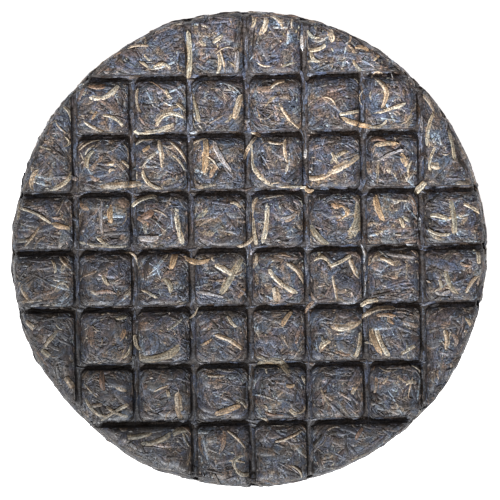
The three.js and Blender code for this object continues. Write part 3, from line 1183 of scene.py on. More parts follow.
@dataclass
class LeafLayer:
    """Strips of one kind, laid on one part of the cake by Geometry Nodes.

    Args:
        name: The piece's name.
        seat: The part of the cake.
        finish: The strips' finish.
        thickness: How far a strip's middle stands above its edges.
        lift: How far the strips' edges stand above the body, lowest and highest.
        density: Strips to a square metre, where they are scattered.
        seed: The seed of everything random.
        length: The shortest and longest strip.
        width: The narrowest and broadest.
        bow: How far the strips bow to the left, from least to most.
        sway: How far a strip's middle line wanders.
        tilt: The slope across a strip, at most.
        order: How far neighbours lie the same way, from 0 to 1.
        follow: How many of the strips near a cell's edge lie along it, from 0 to 1.
        loose: How many of the strips run on across the grooves, from 0 to 1.
        calm: How many of the strips are missing where the face is calm, from 0 to 1.
        steps: Faces along and across a strip.
        point: How pointed the tips are, where 0 is blunt.
        form: What the strips have in common in their form.
        settling: How they settle.
    """

    name: str
    seat: Seat
    finish: LeafFinish
    thickness: float
    lift: Range
    density: float = 0.0
    seed: int = 0
    length: Range = (0.0, 0.0)
    width: Range = (0.0, 0.0)
    bow: Range = mm(-1.2, 1.2)
    sway: float = 0.5 * MM
    tilt: float = 0.25
    order: float = 0.7
    follow: float = 0.7
    loose: float = 0.0
    calm: float = 0.0
    steps: tuple[int, int] = (6, 4)
    point: float = 0.5
    form: StripForm = StripForm()
    settling: Settling = Settling()

    def inputs(self) -> dict[str, float]:
        """The numbers that its Geometry Nodes take."""
        return {"Density": self.density, "Seed": self.seed}

    def random(self, graph: Graph, draw: Draw, low: float = 0.0, high: float = 1.0) -> Wire:
        """A random number for each strip."""
        # The node's sockets 2 and 3 and its output 1 are those of plain numbers
        values = {2: low, 3: high, "Seed": self.seed * SEED_STEP + draw.value}
        return graph.node("FunctionNodeRandomValue", {"data_type": "FLOAT"}, values, 1)

    def body_surface(self, graph: Graph, body: PressedBody) -> Wire:
        """The pressed body's own surface."""
        return graph.node("GeometryNodeObjectInfo", None, {"Object": body.made}, "Geometry")

    def scattered(self, graph: Graph, body: PressedBody) -> Wire:
        """Points where the strips' middles lie, on a disc or on the body's side.

        Args:
            graph: The graph.
            body: The pressed body.

        Returns:
            The points.
        """
        settling = self.settling
        values = {name: source_input(graph, name) for name in self.inputs()}
        if self.seat is Seat.RIM:
            _, _, up = graph.split(graph.node("GeometryNodeInputNormal"))
            x, y, z = graph.split(graph.position())
            far_out = x.length_with(y) > body.radius - settling.rim_band
            on_side = far_out * (z > settling.rim_foot) * (up < settling.rim_slope)
            in_groove = body.grid.past_edge_at(x, y) > -settling.middle_gap
            values["Mesh"] = self.body_surface(graph, body)
            values["Selection"] = on_side * (1 - in_groove * (z > settling.open_height))
        else:
            size = {"Vertices": settling.disc_corners, "Radius": body.radius - settling.disc_inset}
            values["Mesh"] = graph.node("GeometryNodeMeshCircle", {"fill_type": "NGON"}, size)
        return graph.node("GeometryNodeDistributePointsOnFaces", {"distribute_method": "RANDOM"}, values)

    def facing(self, graph: Graph, points: Wire, ahead: Wire, left: Wire) -> Wire:
        """Gives each point the directions ahead and to the left of its strip."""
        points = graph.stored(points, "ahead", ahead, "FLOAT_VECTOR")
        return graph.stored(points, "left", left, "FLOAT_VECTOR")

    def headed(self, graph: Graph, points: Wire, grid: Grid) -> Wire:
        """Gives each point its heading on the face, in bundles or along its cell's edge.

        Args:
            graph: The graph.
            points: The points.
            grid: The grid of grooves.

        Returns:
            The points.
        """
        settling = self.settling
        position = graph.position()
        x, y, _ = graph.split(position)
        bundle = graph.noise(position, settling.bundle_scale) - 0.5
        own = self.random(graph, Draw.HEADING, -math.pi / 2, math.pi / 2)
        free = bundle * 4 * math.pi * self.order + own * (settling.freedom - self.order)
        place = grid.place(*grid.turned(x, y))
        over_u, over_v = grid.into_corner(place, grid.curl)
        out_u = over_u.at_least(0.0) * place.off_u.sign()
        out_v = over_v.at_least(0.0) * place.off_v.sign()
        out = out_u.length_with(out_v).at_least(SLACK)
        follows: Wire | float = 0.0
        slant = settling.edge_slant
        along = out_v.angle_over(out_u) + math.pi / 2
        if self.seat is Seat.FACE:
            start, end = (share * grid.curl for share in settling.follow_span)
            follows = out.ramp(start, end) * self.follow > self.random(graph, Draw.FOLLOWING)
        elif self.seat is Seat.GROOVES:
            follows = 1.0
            slant = settling.groove_slant
            along = (abs(place.off_u) > abs(place.off_v)) * (math.pi / 2)
        beside = along + grid.turn + self.random(graph, Draw.SLANT, -slant, slant)
        turn = free + (beside - free) * follows
        # A strip curls most on its corner's diagonal, and not at all along a straight edge
        curl = follows * abs(out_u * out_v) / (out * out) * (2 / grid.curl)
        points = graph.stored(points, "curl", curl)
        ahead = graph.joined(turn.cosine(), turn.sine())
        return self.facing(graph, points, ahead, graph.joined(-turn.sine(), turn.cosine()))

    def headed_round(self, graph: Graph, points: Wire) -> Wire:
        """Gives each point on the rim its heading, mostly round the cake.

        Args:
            graph: The graph.
            points: The points, as the scatter gives them.

        Returns:
            The points.
        """
        normal = Wire(graph, points.socket.node.outputs["Normal"])
        round_it = graph.square_to((0, 0, 1), graph.position())
        over_it = graph.square_to(normal, round_it)
        slant_span = math.pi * (self.settling.round_freedom - self.order)
        slant = self.random(graph, Draw.HEADING, -1.0, 1.0) ** 3 * slant_span
        ahead = graph.summed(graph.scaled(round_it, slant.cosine()), graph.scaled(over_it, slant.sine()))
        left = graph.summed(graph.scaled(over_it, slant.cosine()), graph.scaled(round_it, -slant.sine()))
        return self.facing(graph, points, ahead, left)

    def sized(self, graph: Graph, points: Wire) -> Wire:
        """Gives each point its strip's own sizes, tint and whether it is loose.

        Args:
            graph: The graph.
            points: The points.

        Returns:
            The points.
        """
        ranges = {Draw.LENGTH: self.length, Draw.WIDTH: self.width}
        ranges |= {Draw.LIFT: self.lift, Draw.BOW: self.bow}
        for draw, ends in ranges.items():
            points = graph.stored(points, draw.name.lower(), self.random(graph, draw, *ends))
        patch = graph.noise(graph.position(), self.settling.tint_scale, detail=2.0, roughness=0.6) - 0.5
        tint = self.random(graph, Draw.TINT) + patch * self.settling.tint_strength
        points = graph.stored(points, "tint", tint.within(0.0, 1.0))
        return graph.stored(points, "loose", self.random(graph, Draw.LOOSE) < self.loose)

    def strip(self, graph: Graph) -> Wire:
        """One flat strip, whose points know where along and across it they are.

        Args:
            graph: The graph.

        Returns:
            The strip.
        """
        along_steps, across_steps = self.steps
        values = {"Size X": 1.0, "Size Y": 2.0}
        values |= {"Vertices X": along_steps + 1, "Vertices Y": across_steps + 1}
        flat = graph.node("GeometryNodeMeshGrid", None, values)
        x, y, _ = graph.split(graph.position())
        flat = graph.stored(flat, "along", x)
        return graph.stored(flat, "across", y.sign() * abs(y) ** self.form.crowding)

    def laid(self, graph: Graph, points: Wire) -> Wire:
        """Puts a strip at each point, bowed, tapered and flat on the point's own plane.

        Args:
            graph: The graph.
            points: The points.

        Returns:
            The strips, each of whose points knows its rise above the surface.
        """
        form = self.form
        points = graph.stored(points, "seat", graph.position(), "FLOAT_VECTOR")
        values = {"Points": points, "Instance": self.strip(graph)}
        copies = graph.node("GeometryNodeInstanceOnPoints", None, values)
        strips = graph.node("GeometryNodeRealizeInstances", None, {0: copies})
        names = ("along", "across", "tint", "length", "width", "bow", "curl", "lift")
        along, across, tint, length, width, bow, curl, lift = (graph.named(name) for name in names)
        reach = along * length
        end = abs(along * 2) ** form.blunt
        taper = (1 - end).at_least(0.0) ** self.point
        wander = graph.noise(graph.spread((reach, tint), form.wander)) - 0.5
        swelling = graph.noise(graph.spread((reach, tint, across), form.swelling)) + 0.5
        # On an arc, the bow is the length squared times the curl, over 8
        bowed = bow - length * length * curl / 8
        side = across * width * 0.5 * taper * swelling
        bend = bowed * (0.5 - along * along * 4) + wander * (2 * self.sway)
        strips = graph.stored(strips, "reach", reach)
        strips = graph.stored(strips, "side", side)
        crinkle = graph.noise(graph.spread((reach, side, tint), form.crinkle)) - 0.5
        arch = 1 - abs(across) ** form.crown_power * form.edge_fall
        crown = arch * (1 - end * form.tip_fall) * self.thickness
        roll = across * (graph.math("FRACT", tint * form.rolls) - 0.5) * self.tilt * width
        uneven = crinkle * self.thickness * form.crinkle_share
        rise = crown + roll + uneven + wander * self.tilt * 0.5 * reach + lift
        strips = graph.stored(strips, "rise", rise)
        ahead, left, seat = (graph.named(name, "FLOAT_VECTOR") for name in ("ahead", "left", "seat"))
        flat = graph.summed(seat, graph.scaled(ahead, reach), graph.scaled(left, side + bend))
        return graph.moved(strips, flat)

    def kept_in_cell(self, graph: Graph, strips: Wire, grid: Grid) -> Wire:
        """Pulls what passes a cell's edge back to the edge, and drops what passes it by far.

        Args:
            graph: The graph.
            strips: The flat strips.
            grid: The grid of grooves.

        Returns:
            The strips.
        """
        settling = self.settling
        x, y, _ = graph.split(graph.position())
        seat_x, seat_y, _ = graph.split(graph.named("seat", "FLOAT_VECTOR"))
        u, v = grid.turned(x, y)
        place = grid.place(u, v, *grid.turned(seat_x, seat_y))
        over_u, over_v = grid.into_corner(place, grid.corner)
        out_u, out_v = over_u.at_least(0.0), over_v.at_least(0.0)
        held = 1 - graph.named("loose")
        past = grid.past_edge(place)
        over = (past + settling.pull).at_least(0.0) * held
        share = over / out_u.length_with(out_v).at_least(settling.pull / 2)
        new_u = u - place.off_u.sign() * out_u * share
        new_v = v - place.off_v.sign() * out_v * share
        strips = graph.stored(strips, "past", past.at_least(-settling.deepest) * held)
        sunk = graph.named("rise") - over.at_most(settling.sag_end) * settling.sag
        strips = graph.stored(strips, "rise", sunk)
        pulled = graph.moved(strips, graph.joined(*grid.turned(new_u, new_v, back=True)))
        return graph.without(pulled, graph.named("past") > settling.overhang)

    def dropped(self, graph: Graph, strips: Wire, body: PressedBody) -> Wire:
        """Drops strips straight down on the scored face.

        Args:
            graph: The graph.
            strips: The flat strips.
            body: The pressed body.

        Returns:
            The strips.
        """
        x, y, _ = graph.split(graph.position())
        above = graph.joined(x, y, self.settling.fall)
        values = {"Target Geometry": self.body_surface(graph, body), "Source Position": above}
        values |= {"Ray Direction": (0, 0, -1), "Ray Length": 2 * self.settling.fall}
        hit = graph.node("GeometryNodeRaycast", {"data_type": "FLOAT"}, values, "Hit Position")
        _, _, ground = graph.split(hit)
        is_hit = Wire(graph, hit.socket.node.outputs["Is Hit"])
        strips = graph.stored(strips, "lost", 1 - is_hit)
        # Painted shade low on the cells' flanks, which the finish reads
        strips = graph.stored(strips, "flank", body.grid.flank(x, y))
        placed = graph.joined(x, y, ground + graph.named("rise"))
        return graph.without(graph.moved(strips, placed), graph.named("lost") > ONE_CORNER)

    def wrapped_on_rim(self, graph: Graph, strips: Wire, body: PressedBody) -> Wire:
        """Presses strips on to the nearest place of the rim, without closing the grooves' ends.

        Args:
            graph: The graph.
            strips: The flat strips.
            body: The pressed body.

        Returns:
            The strips.
        """
        surface = self.body_surface(graph, body)
        nearest = graph.node("GeometryNodeProximity", {"target_element": "FACES"}, {0: surface}, "Position")
        values = {"Mesh": surface, "Value": graph.node("GeometryNodeInputNormal")}
        normal = graph.node("GeometryNodeSampleNearestSurface", {"data_type": "FLOAT_VECTOR"}, values)
        out_x, out_y, out_z = graph.split(graph.scaled(normal, graph.named("rise")))
        x, y, z = graph.split(nearest)
        risen = graph.joined(x + out_x, y + out_y, (z + out_z).at_least(0.0))
        in_groove = body.grid.past_edge_at(x, y) > -self.settling.gap
        # Painted shade on the rim, darker towards its near side
        strips = graph.stored(strips, "flank", body.painted_rim_shade(y))
        strips = graph.stored(strips, "lost", in_groove * (z > self.settling.open_height))
        return graph.without(graph.moved(strips, risen), graph.named("lost") > TWO_CORNERS)

    def pressed_under(self, graph: Graph, strips: Wire, body: PressedBody) -> Wire:
        """Lays strips flat on the underside, where none reaches below the cake's own.

        Args:
            graph: The graph.
            strips: The flat strips.
            body: The pressed body.

        Returns:
            The strips, facing down.
        """
        settling = self.settling
        x, y, _ = graph.split(graph.position())
        radius = x.length_with(y)
        depth = (body.underside - graph.named("rise")).at_least(0.0)
        into_bevel = (radius - (body.radius - settling.bevel_inset)).at_least(0.0)
        strips = graph.stored(strips, "lost", radius > body.radius - settling.under_inset)
        placed = graph.joined(x, y, depth + into_bevel * settling.bevel_slope)
        kept = graph.without(graph.moved(strips, placed), graph.named("lost") > TWO_CORNERS)
        return graph.node("GeometryNodeFlipFaces", None, {"Mesh": kept})

    def seated(self, graph: Graph, body: PressedBody) -> Wire:
        """The points that strips are laid at, with everything a strip needs to know.

        Args:
            graph: The graph.
            body: The pressed body.

        Returns:
            The points.
        """
        points = self.scattered(graph, body)
        if self.seat is Seat.RIM:
            return self.sized(graph, self.headed_round(graph, points))
        points = self.headed(graph, points, body.grid)
        if self.seat is Seat.GROOVES:
            x, y, _ = graph.split(graph.position())
            off_floor = body.grid.past_edge_at(x, y) < body.grid.edge - body.grid.floor
            points = graph.without(points, off_floor, "POINT")
        calm = graph.noise(graph.position(), self.settling.calm_scale).ramp(*self.settling.calm_span)
        points = graph.without(points, calm * self.calm > self.random(graph, Draw.CALM), "POINT")
        return self.sized(graph, points)

    def tree(self, body: PressedBody) -> bpy.types.NodeTree:
        """The layer's Geometry Nodes.

        Args:
            body: The pressed body.

        Returns:
            The tree.
        """
        tree = new_tree(self.name, self.inputs())
        graph = Graph(tree)
        strips = self.laid(graph, self.seated(graph, body))
        if self.seat is Seat.RIM:
            placed = self.wrapped_on_rim(graph, strips, body)
        elif self.seat is Seat.UNDERSIDE:
            placed = self.pressed_under(graph, strips, body)
        elif self.seat is Seat.GROOVES:
            placed = self.dropped(graph, strips, body)
        else:
            placed = self.dropped(graph, self.kept_in_cell(graph, strips, body.grid), body)
        close_tree(graph, placed, self.finish.build())
        return tree

    def starting_points(self) -> bpy.types.Mesh:
        """The mesh that the tree starts from, which is empty where the tree scatters its own points."""
        return bpy.data.meshes.new(self.name)

    def build(self, body: PressedBody) -> bpy.types.Object:
        """Makes the layer as one piece that lies on the pressed body."""
        start = bpy.data.objects.new(self.name, self.starting_points())
        return settled(start, self.tree(body), self.name, self.inputs())


@dataclass(frozen=True)
class ShownStrip:
    """A strip that stands out on the cake, in millimetres.

    Args:
        tone: Its colour.
        width: Its width.
        start: One end, to the right and away from the cake's middle.
        way: A place that it runs through.
        end: Its other end.
        least_bow: The least share of the whole bow that the way is taken to have.
    """

    tone: Tone
    width: float
    start: Spot
    way: Spot
    end: Spot
    least_bow: float = 0.5

    def chord(self) -> Vector:
        """From one end to the other."""
        return Vector(self.end) - Vector(self.start)

    def left(self) -> Vector:
        """The direction to the left of the chord."""
        return self.chord().normalized().orthogonal()

    def bow(self) -> float:
        """How far it bows to the left of the chord, as a parabola that runs through the way."""
        way = Vector(self.way) - Vector(self.start)
        share = way.dot(self.chord()) / self.chord().length_squared
        return way.dot(self.left()) / max(4 * share * (1 - share), self.least_bow)

    def seat(self) -> Vector:
        """Midway between the chord's middle and the bow's."""
        return Vector(self.start) + self.chord() / 2 + self.left() * (self.bow() / 2)

    def is_loose(self, grid: Grid) -> bool:
        """Finds out whether it crosses a groove or lies in one.

        Args:
            grid: The grid of grooves.

        Returns:
            True where it does.
        """
        back = Matrix.Rotation(-grid.turn, 2) * (MM / grid.pitch)
        spots = [back @ Vector(spot) for spot in (self.start, self.way, self.end)]
        cells = {tuple(math.floor(number) for number in spot) for spot in spots}
        to_groove = min(abs(number - round(number)) for number in spots[1])
        return len(cells) > 1 or to_groove < grid.edge / grid.pitch


SHOWN_TONES = (Tone.SLATE, Tone.ASH, Tone.RUSSET, Tone.OLIVE, Tone.AMBER, Tone.TAN, Tone.STRAW)
ASH, RUSSET, OLIVE, AMBER, TAN, STRAW = SHOWN_TONES[1:]

# Tone, width, one end, a place on the way and the other end, from the far left to the near right
SHOWN_STRIPS = tuple(ShownStrip(*row) for row in (
    (STRAW, 2.2, (-71, 67), (-61, 63.5), (-54, 71)),
    (STRAW, 1.3, (-78.5, 60), (-76, 58), (-74.5, 53.5)),
    (TAN, 1.2, (-69, 54), (-65, 51), (-61, 49.5)),
    (STRAW, 1.2, (-61, 56), (-57, 55), (-53, 51.5)),
    (STRAW, 1.2, (-77.5, 43), (-75, 45), (-77, 47)),
    (STRAW, 1.8, (-48, 49.5), (-41, 49), (-32, 52.5)),
    (STRAW, 1.8, (-39, 50), (-35.5, 56), (-27, 54.5)),
    (STRAW, 1.3, (-35, 67), (-34, 64.5), (-32.5, 63)),
    (TAN, 0.9, (-46.5, 67), (-47, 62), (-45.5, 57.5)),
    (TAN, 1.8, (-48, 44), (-45.5, 46), (-40, 46.5)),
    (TAN, 1.8, (-37.5, 46), (-36.5, 39), (-36, 33)),
    (STRAW, 0.9, (-44, 81.5), (-43, 80), (-41.5, 79)),
    (STRAW, 1.1, (-46, 78.5), (-44, 77.5), (-42.5, 76)),
    (STRAW, 1.3, (-40, 76), (-36, 77.5), (-33, 75.5)),
    (OLIVE, 1.6, (-67.5, 34), (-67.5, 38), (-65, 41)),
    (TAN, 1.6, (-59.5, 35.5), (-57.5, 36), (-55.5, 35)),
    (STRAW, 1.1, (-53.5, 37), (-52, 36), (-50.5, 34)),
    (AMBER, 1.3, (-44.5, 41), (-43, 42), (-41.5, 43)),
    (TAN, 0.8, (-71, 41.5), (-67, 45), (-61, 46)),
    (TAN, 0.8, (-52, 84), (-47, 85.5), (-42, 85)),
    (STRAW, 1.4, (-21.5, 87.5), (-20, 86.5), (-18.5, 85)),
    (STRAW, 1.6, (-15, 86.5), (-13, 88), (-11, 89.5)),
    (STRAW, 1.3, (-13, 81.5), (-12.5, 77), (-13.5, 73.5)),
    (TAN, 0.8, (-12, 83), (-10.5, 78), (-10, 74)),
    (ASH, 1.6, (-5, 83), (-5, 78), (-5.5, 74)),
    (STRAW, 1.5, (1.5, 98), (2, 95.5), (1, 93)),
    (TAN, 2.0, (7.5, 97), (6.5, 93), (4.5, 90)),
    (TAN, 1.2, (9, 98), (12.5, 96), (14, 93)),
    (STRAW, 1.6, (25, 83.5), (28, 83.5), (32, 85.5)),
    (STRAW, 1.6, (26, 83), (26.5, 80), (29.5, 78.5)),
    (TAN, 3.0, (34, 86.5), (33.5, 91), (31.5, 95)),
    (OLIVE, 1.8, (-25.5, 91), (-25, 82), (-25.5, 72)),
    (OLIVE, 1.3, (-24.5, 66), (-22.5, 60), (-21, 53)),
    (TAN, 2.2, (-3, 64.5), (-5, 59), (-6, 54.5)),
    (TAN, 1.2, (9, 67.5), (11, 69.5), (15, 70.5)),
    (TAN, 1.2, (13, 61), (16, 56), (21.5, 50.5)),
    (AMBER, 2.4, (-18.5, 46.5), (-18.5, 39), (-19, 32)),
    (ASH, 1.8, (-15, 45), (-12, 39), (-8, 33)),
    (TAN, 1.2, (1, 49.5), (3, 48.5), (5, 47.5)),
    (TAN, 1.2, (3, 47), (0, 43), (-2, 38)),
    (STRAW, 1.8, (1.5, 44), (3.5, 31.5), (12, 26.5)),
    (TAN, 1.2, (15.5, 46), (15, 41), (16.5, 36)),
    (TAN, 1.0, (8, 45.5), (12, 44.5), (15, 45)),
    (STRAW, 1.3, (-30.5, 61), (-29, 60), (-27, 58)),
    (TAN, 1.0, (-33, 45), (-29, 41.5), (-26, 36)),
    (STRAW, 0.9, (-33, 40), (-30, 37.5), (-27, 33)),
    (STRAW, 1.0, (34, 94), (37, 92), (41, 91)),
    (AMBER, 1.3, (44.5, 84.5), (47.5, 84.5), (50, 83)),
    (STRAW, 1.2, (43.5, 79), (44.5, 77), (47, 75)),
    (TAN, 1.8, (52.5, 71.5), (57.5, 66), (55, 59.5)),
    (STRAW, 1.3, (50, 56), (57, 58), (65.5, 61)),
    (AMBER, 1.8, (39, 55), (45, 52.5), (52, 51.5)),
    (STRAW, 1.2, (50, 52), (55, 51.5), (57.5, 54)),
    (STRAW, 1.3, (38, 56.5), (42, 57), (46.5, 58)),
    (TAN, 1.2, (72.5, 65), (75.5, 62), (77.5, 58)),
    (STRAW, 1.5, (78.5, 58), (75, 51), (75.5, 42)),
    (STRAW, 1.2, (79, 43.5), (76, 39), (76, 33)),
    (TAN, 2.6, (76, 36), (78, 35), (80.5, 35.5)),
    (RUSSET, 1.4, (51, 45.5), (54, 46.5), (57.5, 45.5)),
    (ASH, 1.0, (54, 37), (59, 40), (64, 41.5)),
    (AMBER, 2.2, (63, 40), (64.5, 37.5), (65, 34.5)),
    (TAN, 2.6, (33, 32.5), (39, 35), (46, 39.5)),
    (TAN, 1.8, (24, 30.5), (29, 30), (35, 33)),
    (STRAW, 1.3, (34.5, 40.5), (35.5, 38.5), (37, 36)),
    (OLIVE, 1.2, (84, 50), (85, 44), (86, 38)),
    (STRAW, 0.9, (89, 42), (92, 38.5), (94, 35)),
    (STRAW, 1.8, (-84.5, 25), (-77.5, 27.5), (-73, 34)),
    (TAN, 1.8, (-88, 33), (-91, 29), (-90.5, 25)),
    (TAN, 2.3, (-62, 26.5), (-54, 27), (-45, 27.5)),
    (STRAW, 1.5, (-44.5, 33), (-42.5, 28), (-37, 25.5)),
    (STRAW, 1.6, (-49, 18), (-44.5, 21), (-39, 22)),
    (AMBER, 2.0, (-58, 18.5), (-58.5, 14), (-58, 11)),
    (AMBER, 1.8, (-82.5, 10.5), (-79, 9.5), (-75.5, 8.5)),
    (STRAW, 1.0, (-98, 17.5), (-91, 15.5), (-83, 10.5)),
    (TAN, 0.9, (-94, 1.5), (-91, 5), (-88, 9)),
    (STRAW, 1.0, (-72, 3.5), (-64, 1.5), (-51, 1.5)),
    (STRAW, 1.4, (-64, 5.5), (-61.5, 3), (-59, 1.5)),
    (ASH, 1.2, (-62, 20), (-62, 12), (-61.5, 6)),
    (RUSSET, 2.4, (-45, 13.5), (-42.5, 14.5), (-40.5, 16.5)),
    (ASH, 2.0, (-46, 5), (-42, 4.5), (-38, 5)),
    (TAN, 1.3, (-96, -12), (-94.5, -18), (-90, -22.5)),
    (STRAW, 1.3, (-81.5, -18), (-80, -15), (-75, -17.5)),
    (STRAW, 1.2, (-83, -4.5), (-81.5, -7), (-81.5, -10)),
    (TAN, 1.0, (-79, -3), (-77, -6), (-74.5, -8)),
    (STRAW, 1.5, (-61.5, -11), (-60.5, -13), (-59, -15)),
    (TAN, 1.8, (-66, -17), (-64.5, -18), (-62.5, -19)),
    (STRAW, 1.1, (-45, -17), (-42, -18.5), (-38, -21)),
    (TAN, 1.8, (-93.5, -30), (-92, -31.5), (-90, -33.5)),
    (AMBER, 2.2, (-31, -1), (-32, -5), (-33, -8)),
    (OLIVE, 2.0, (-36, -12), (-34, -14), (-33, -18)),
    (STRAW, 2.0, (-30.5, 17), (-29.5, 8), (-27.5, 2)),
    (AMBER, 1.8, (-27, -3), (-22, -5.5), (-16, -4)),
    (STRAW, 1.2, (-8, 19.5), (-5.5, 19), (-3.5, 17.5)),
    (TAN, 1.2, (3.5, 21.5), (1.5, 17), (1.5, 12)),
    (STRAW, 1.5, (1.5, 13), (2, 7), (3, 2)),
    (STRAW, 1.8, (7.5, 18.5), (7, 10), (5.5, 3)),
    (TAN, 1.3, (-5, 1.5), (-1, 2.5), (2, 6)),
    (STRAW, 1.0, (12, 26.5), (18, 26), (24, 26)),
    (AMBER, 1.5, (23.5, 26), (25, 24.5), (27, 24.5)),
    (STRAW, 2.2, (-14, -6.5), (-10.5, -8.5), (-7, -10.5)),
    (OLIVE, 2.5, (-3, -4), (-8, -12), (-12, -19)),
    (TAN, 1.2, (3.5, -1.5), (3, -5), (2, -8)),
    (STRAW, 1.8, (8.5, -8.5), (13.5, -14.5), (20, -18)),
    (TAN, 1.8, (16, -6), (20.5, -9), (23, -14.5)),
    (TAN, 2.5, (11, -16), (11.5, -19), (12, -22)),
    (ASH, 1.3, (-22, -18), (-17, -18.5), (-11, -20.5)),
    (STRAW, 1.6, (26.5, -5.5), (29.5, -3.5), (34, -7)),
    (OLIVE, 2.2, (26, 10), (29, 5), (33.5, 1.5)),
    (STRAW, 1.3, (-9, -27.5), (-8, -30), (-5.5, -32.5)),
    (AMBER, 1.6, (14, -32), (16, -28.5), (18, -26.5)),
    (OLIVE, 3.2, (46, 23), (45.5, 13), (41, 3)),
    (AMBER, 1.6, (35.5, 19), (41, 16), (36, 12)),
    (AMBER, 2.1, (53, 22.5), (53.5, 18), (56.5, 12)),
    (STRAW, 1.5, (63, 13), (64, 11), (64.5, 9)),
    (STRAW, 2.4, (70, 23.5), (72, 26), (74, 28)),
    (STRAW, 1.4, (88.5, 19.5), (93, 17.5), (98, 14.5)),
    (OLIVE, 2.0, (84.5, 20.5), (85.5, 14), (86, 6)),
    (STRAW, 1.8, (76, 14), (79, 14), (83, 12.5)),
    (STRAW, 1.2, (75, 8.5), (78, 6.5), (84, 6.5)),
    (STRAW, 1.4, (34, -7), (38, -5.5), (42.5, -2.5)),
    (TAN, 1.8, (42.5, -4), (44, -8), (46.5, -12)),
    (TAN, 1.0, (35, -11), (36, -16), (37, -21.5)),
    (TAN, 1.5, (55, -3.5), (58, -4.5), (61, -6.5)),
    (ASH, 1.2, (58, -2), (63, -2.5), (69, -3.5)),
    (STRAW, 1.6, (95.5, -1), (96, -3.5), (96, -6)),
    (OLIVE, 1.8, (83.5, -5), (83, -13), (87.5, -18.5)),
    (STRAW, 1.3, (79.5, -12.5), (80, -14), (80.5, -16)),
    (ASH, 1.3, (81, -19), (82.5, -18), (84, -17.5)),
    (TAN, 1.2, (91, -18), (93, -14), (96, -11)),
    (STRAW, 1.8, (47, -24), (50, -22), (54, -21.5)),
    (TAN, 2.5, (34, -31.5), (40, -32.5), (48, -28)),
    (TAN, 1.6, (47, -29), (51, -26), (61, -25)),
    (OLIVE, 2.8, (-47, -45), (-40, -46), (-29, -40)),
    (STRAW, 1.2, (-53, -45.5), (-50.5, -43.5), (-49.5, -40)),
    (RUSSET, 1.8, (-61.5, -51), (-61.5, -55), (-60.5, -59)),
    (TAN, 0.8, (-69, -56), (-66.5, -59), (-63.5, -62)),
    (STRAW, 1.3, (-68.5, -61), (-66, -67), (-60, -70)),
    (STRAW, 1.3, (-62, -72), (-56, -68), (-50.5, -65)),
    (STRAW, 1.2, (-59.5, -66), (-56, -68.5), (-51, -70)),
    (TAN, 2.2, (-76.5, -53.5), (-75, -56), (-73.5, -58)),
    (TAN, 2.4, (-55.5, -57), (-53.5, -58), (-51, -58.5)),
    (OLIVE, 1.8, (-52, -78), (-46, -78.5), (-40.5, -76)),
    (OLIVE, 1.8, (-45, -81), (-38, -80.5), (-33, -77)),
    (STRAW, 1.5, (-48, -36), (-47.5, -40), (-46, -42)),
    (STRAW, 1.3, (-34.5, -59), (-34, -60.5), (-33.5, -62)),
    (TAN, 0.8, (-40, -59.5), (-37, -58), (-33.5, -57)),
    (OLIVE, 2.0, (-87, -42), (-85, -44), (-83.5, -45)),
    (TAN, 2.5, (-29.5, -60), (-29.5, -65), (-28.5, -71)),
    (TAN, 1.6, (-14, -36), (-9, -37.5), (-3, -42)),
    (AMBER, 2.0, (-14, -69), (-9, -67.5), (-4, -65.5)),
    (TAN, 1.0, (-17.5, -52.5), (-14, -53), (-10, -52.5)),
    (OLIVE, 2.8, (4, -48), (11, -47), (17, -52.5)),
    (STRAW, 1.4, (3.5, -45), (6, -46), (8, -47)),
    (STRAW, 1.2, (22, -53), (23, -55), (24, -57)),
    (AMBER, 1.2, (15.5, -57), (17, -57.5), (19, -57)),
    (STRAW, 1.6, (17, -67), (18.5, -68.5), (20, -69)),
    (STRAW, 1.8, (-2, -86.5), (-6.5, -89), (-4.5, -93)),
    (STRAW, 1.8, (-5.5, -91.5), (-2.5, -94.5), (0.5, -94)),
    (TAN, 0.9, (-9, -76), (-5, -79), (-1.5, -83.5)),
    (TAN, 0.9, (11, -80.5), (16, -79), (22, -76)),
    (OLIVE, 2.4, (-32, -77.5), (-29, -76), (-26, -76)),
    (STRAW, 2.2, (30, -42), (31, -40), (34, -38.5)),
    (AMBER, 2.0, (51, -33.5), (52.5, -39), (55.5, -44)),
    (STRAW, 1.8, (53.5, -33.5), (55.5, -40), (58.5, -44.5)),
    (STRAW, 1.5, (46.5, -35), (46, -40), (44.5, -45)),
    (STRAW, 1.6, (63.5, -44), (66, -42.5), (69.5, -40.5)),
    (STRAW, 1.6, (65.5, -57), (68, -55.5), (70, -56)),
    (TAN, 1.6, (43, -60.5), (44, -58.5), (45, -57)),
    (TAN, 1.8, (82, -34), (83, -38), (82.5, -42)),
    (RUSSET, 1.2, (47.5, -75), (46, -77), (45, -80)),
))


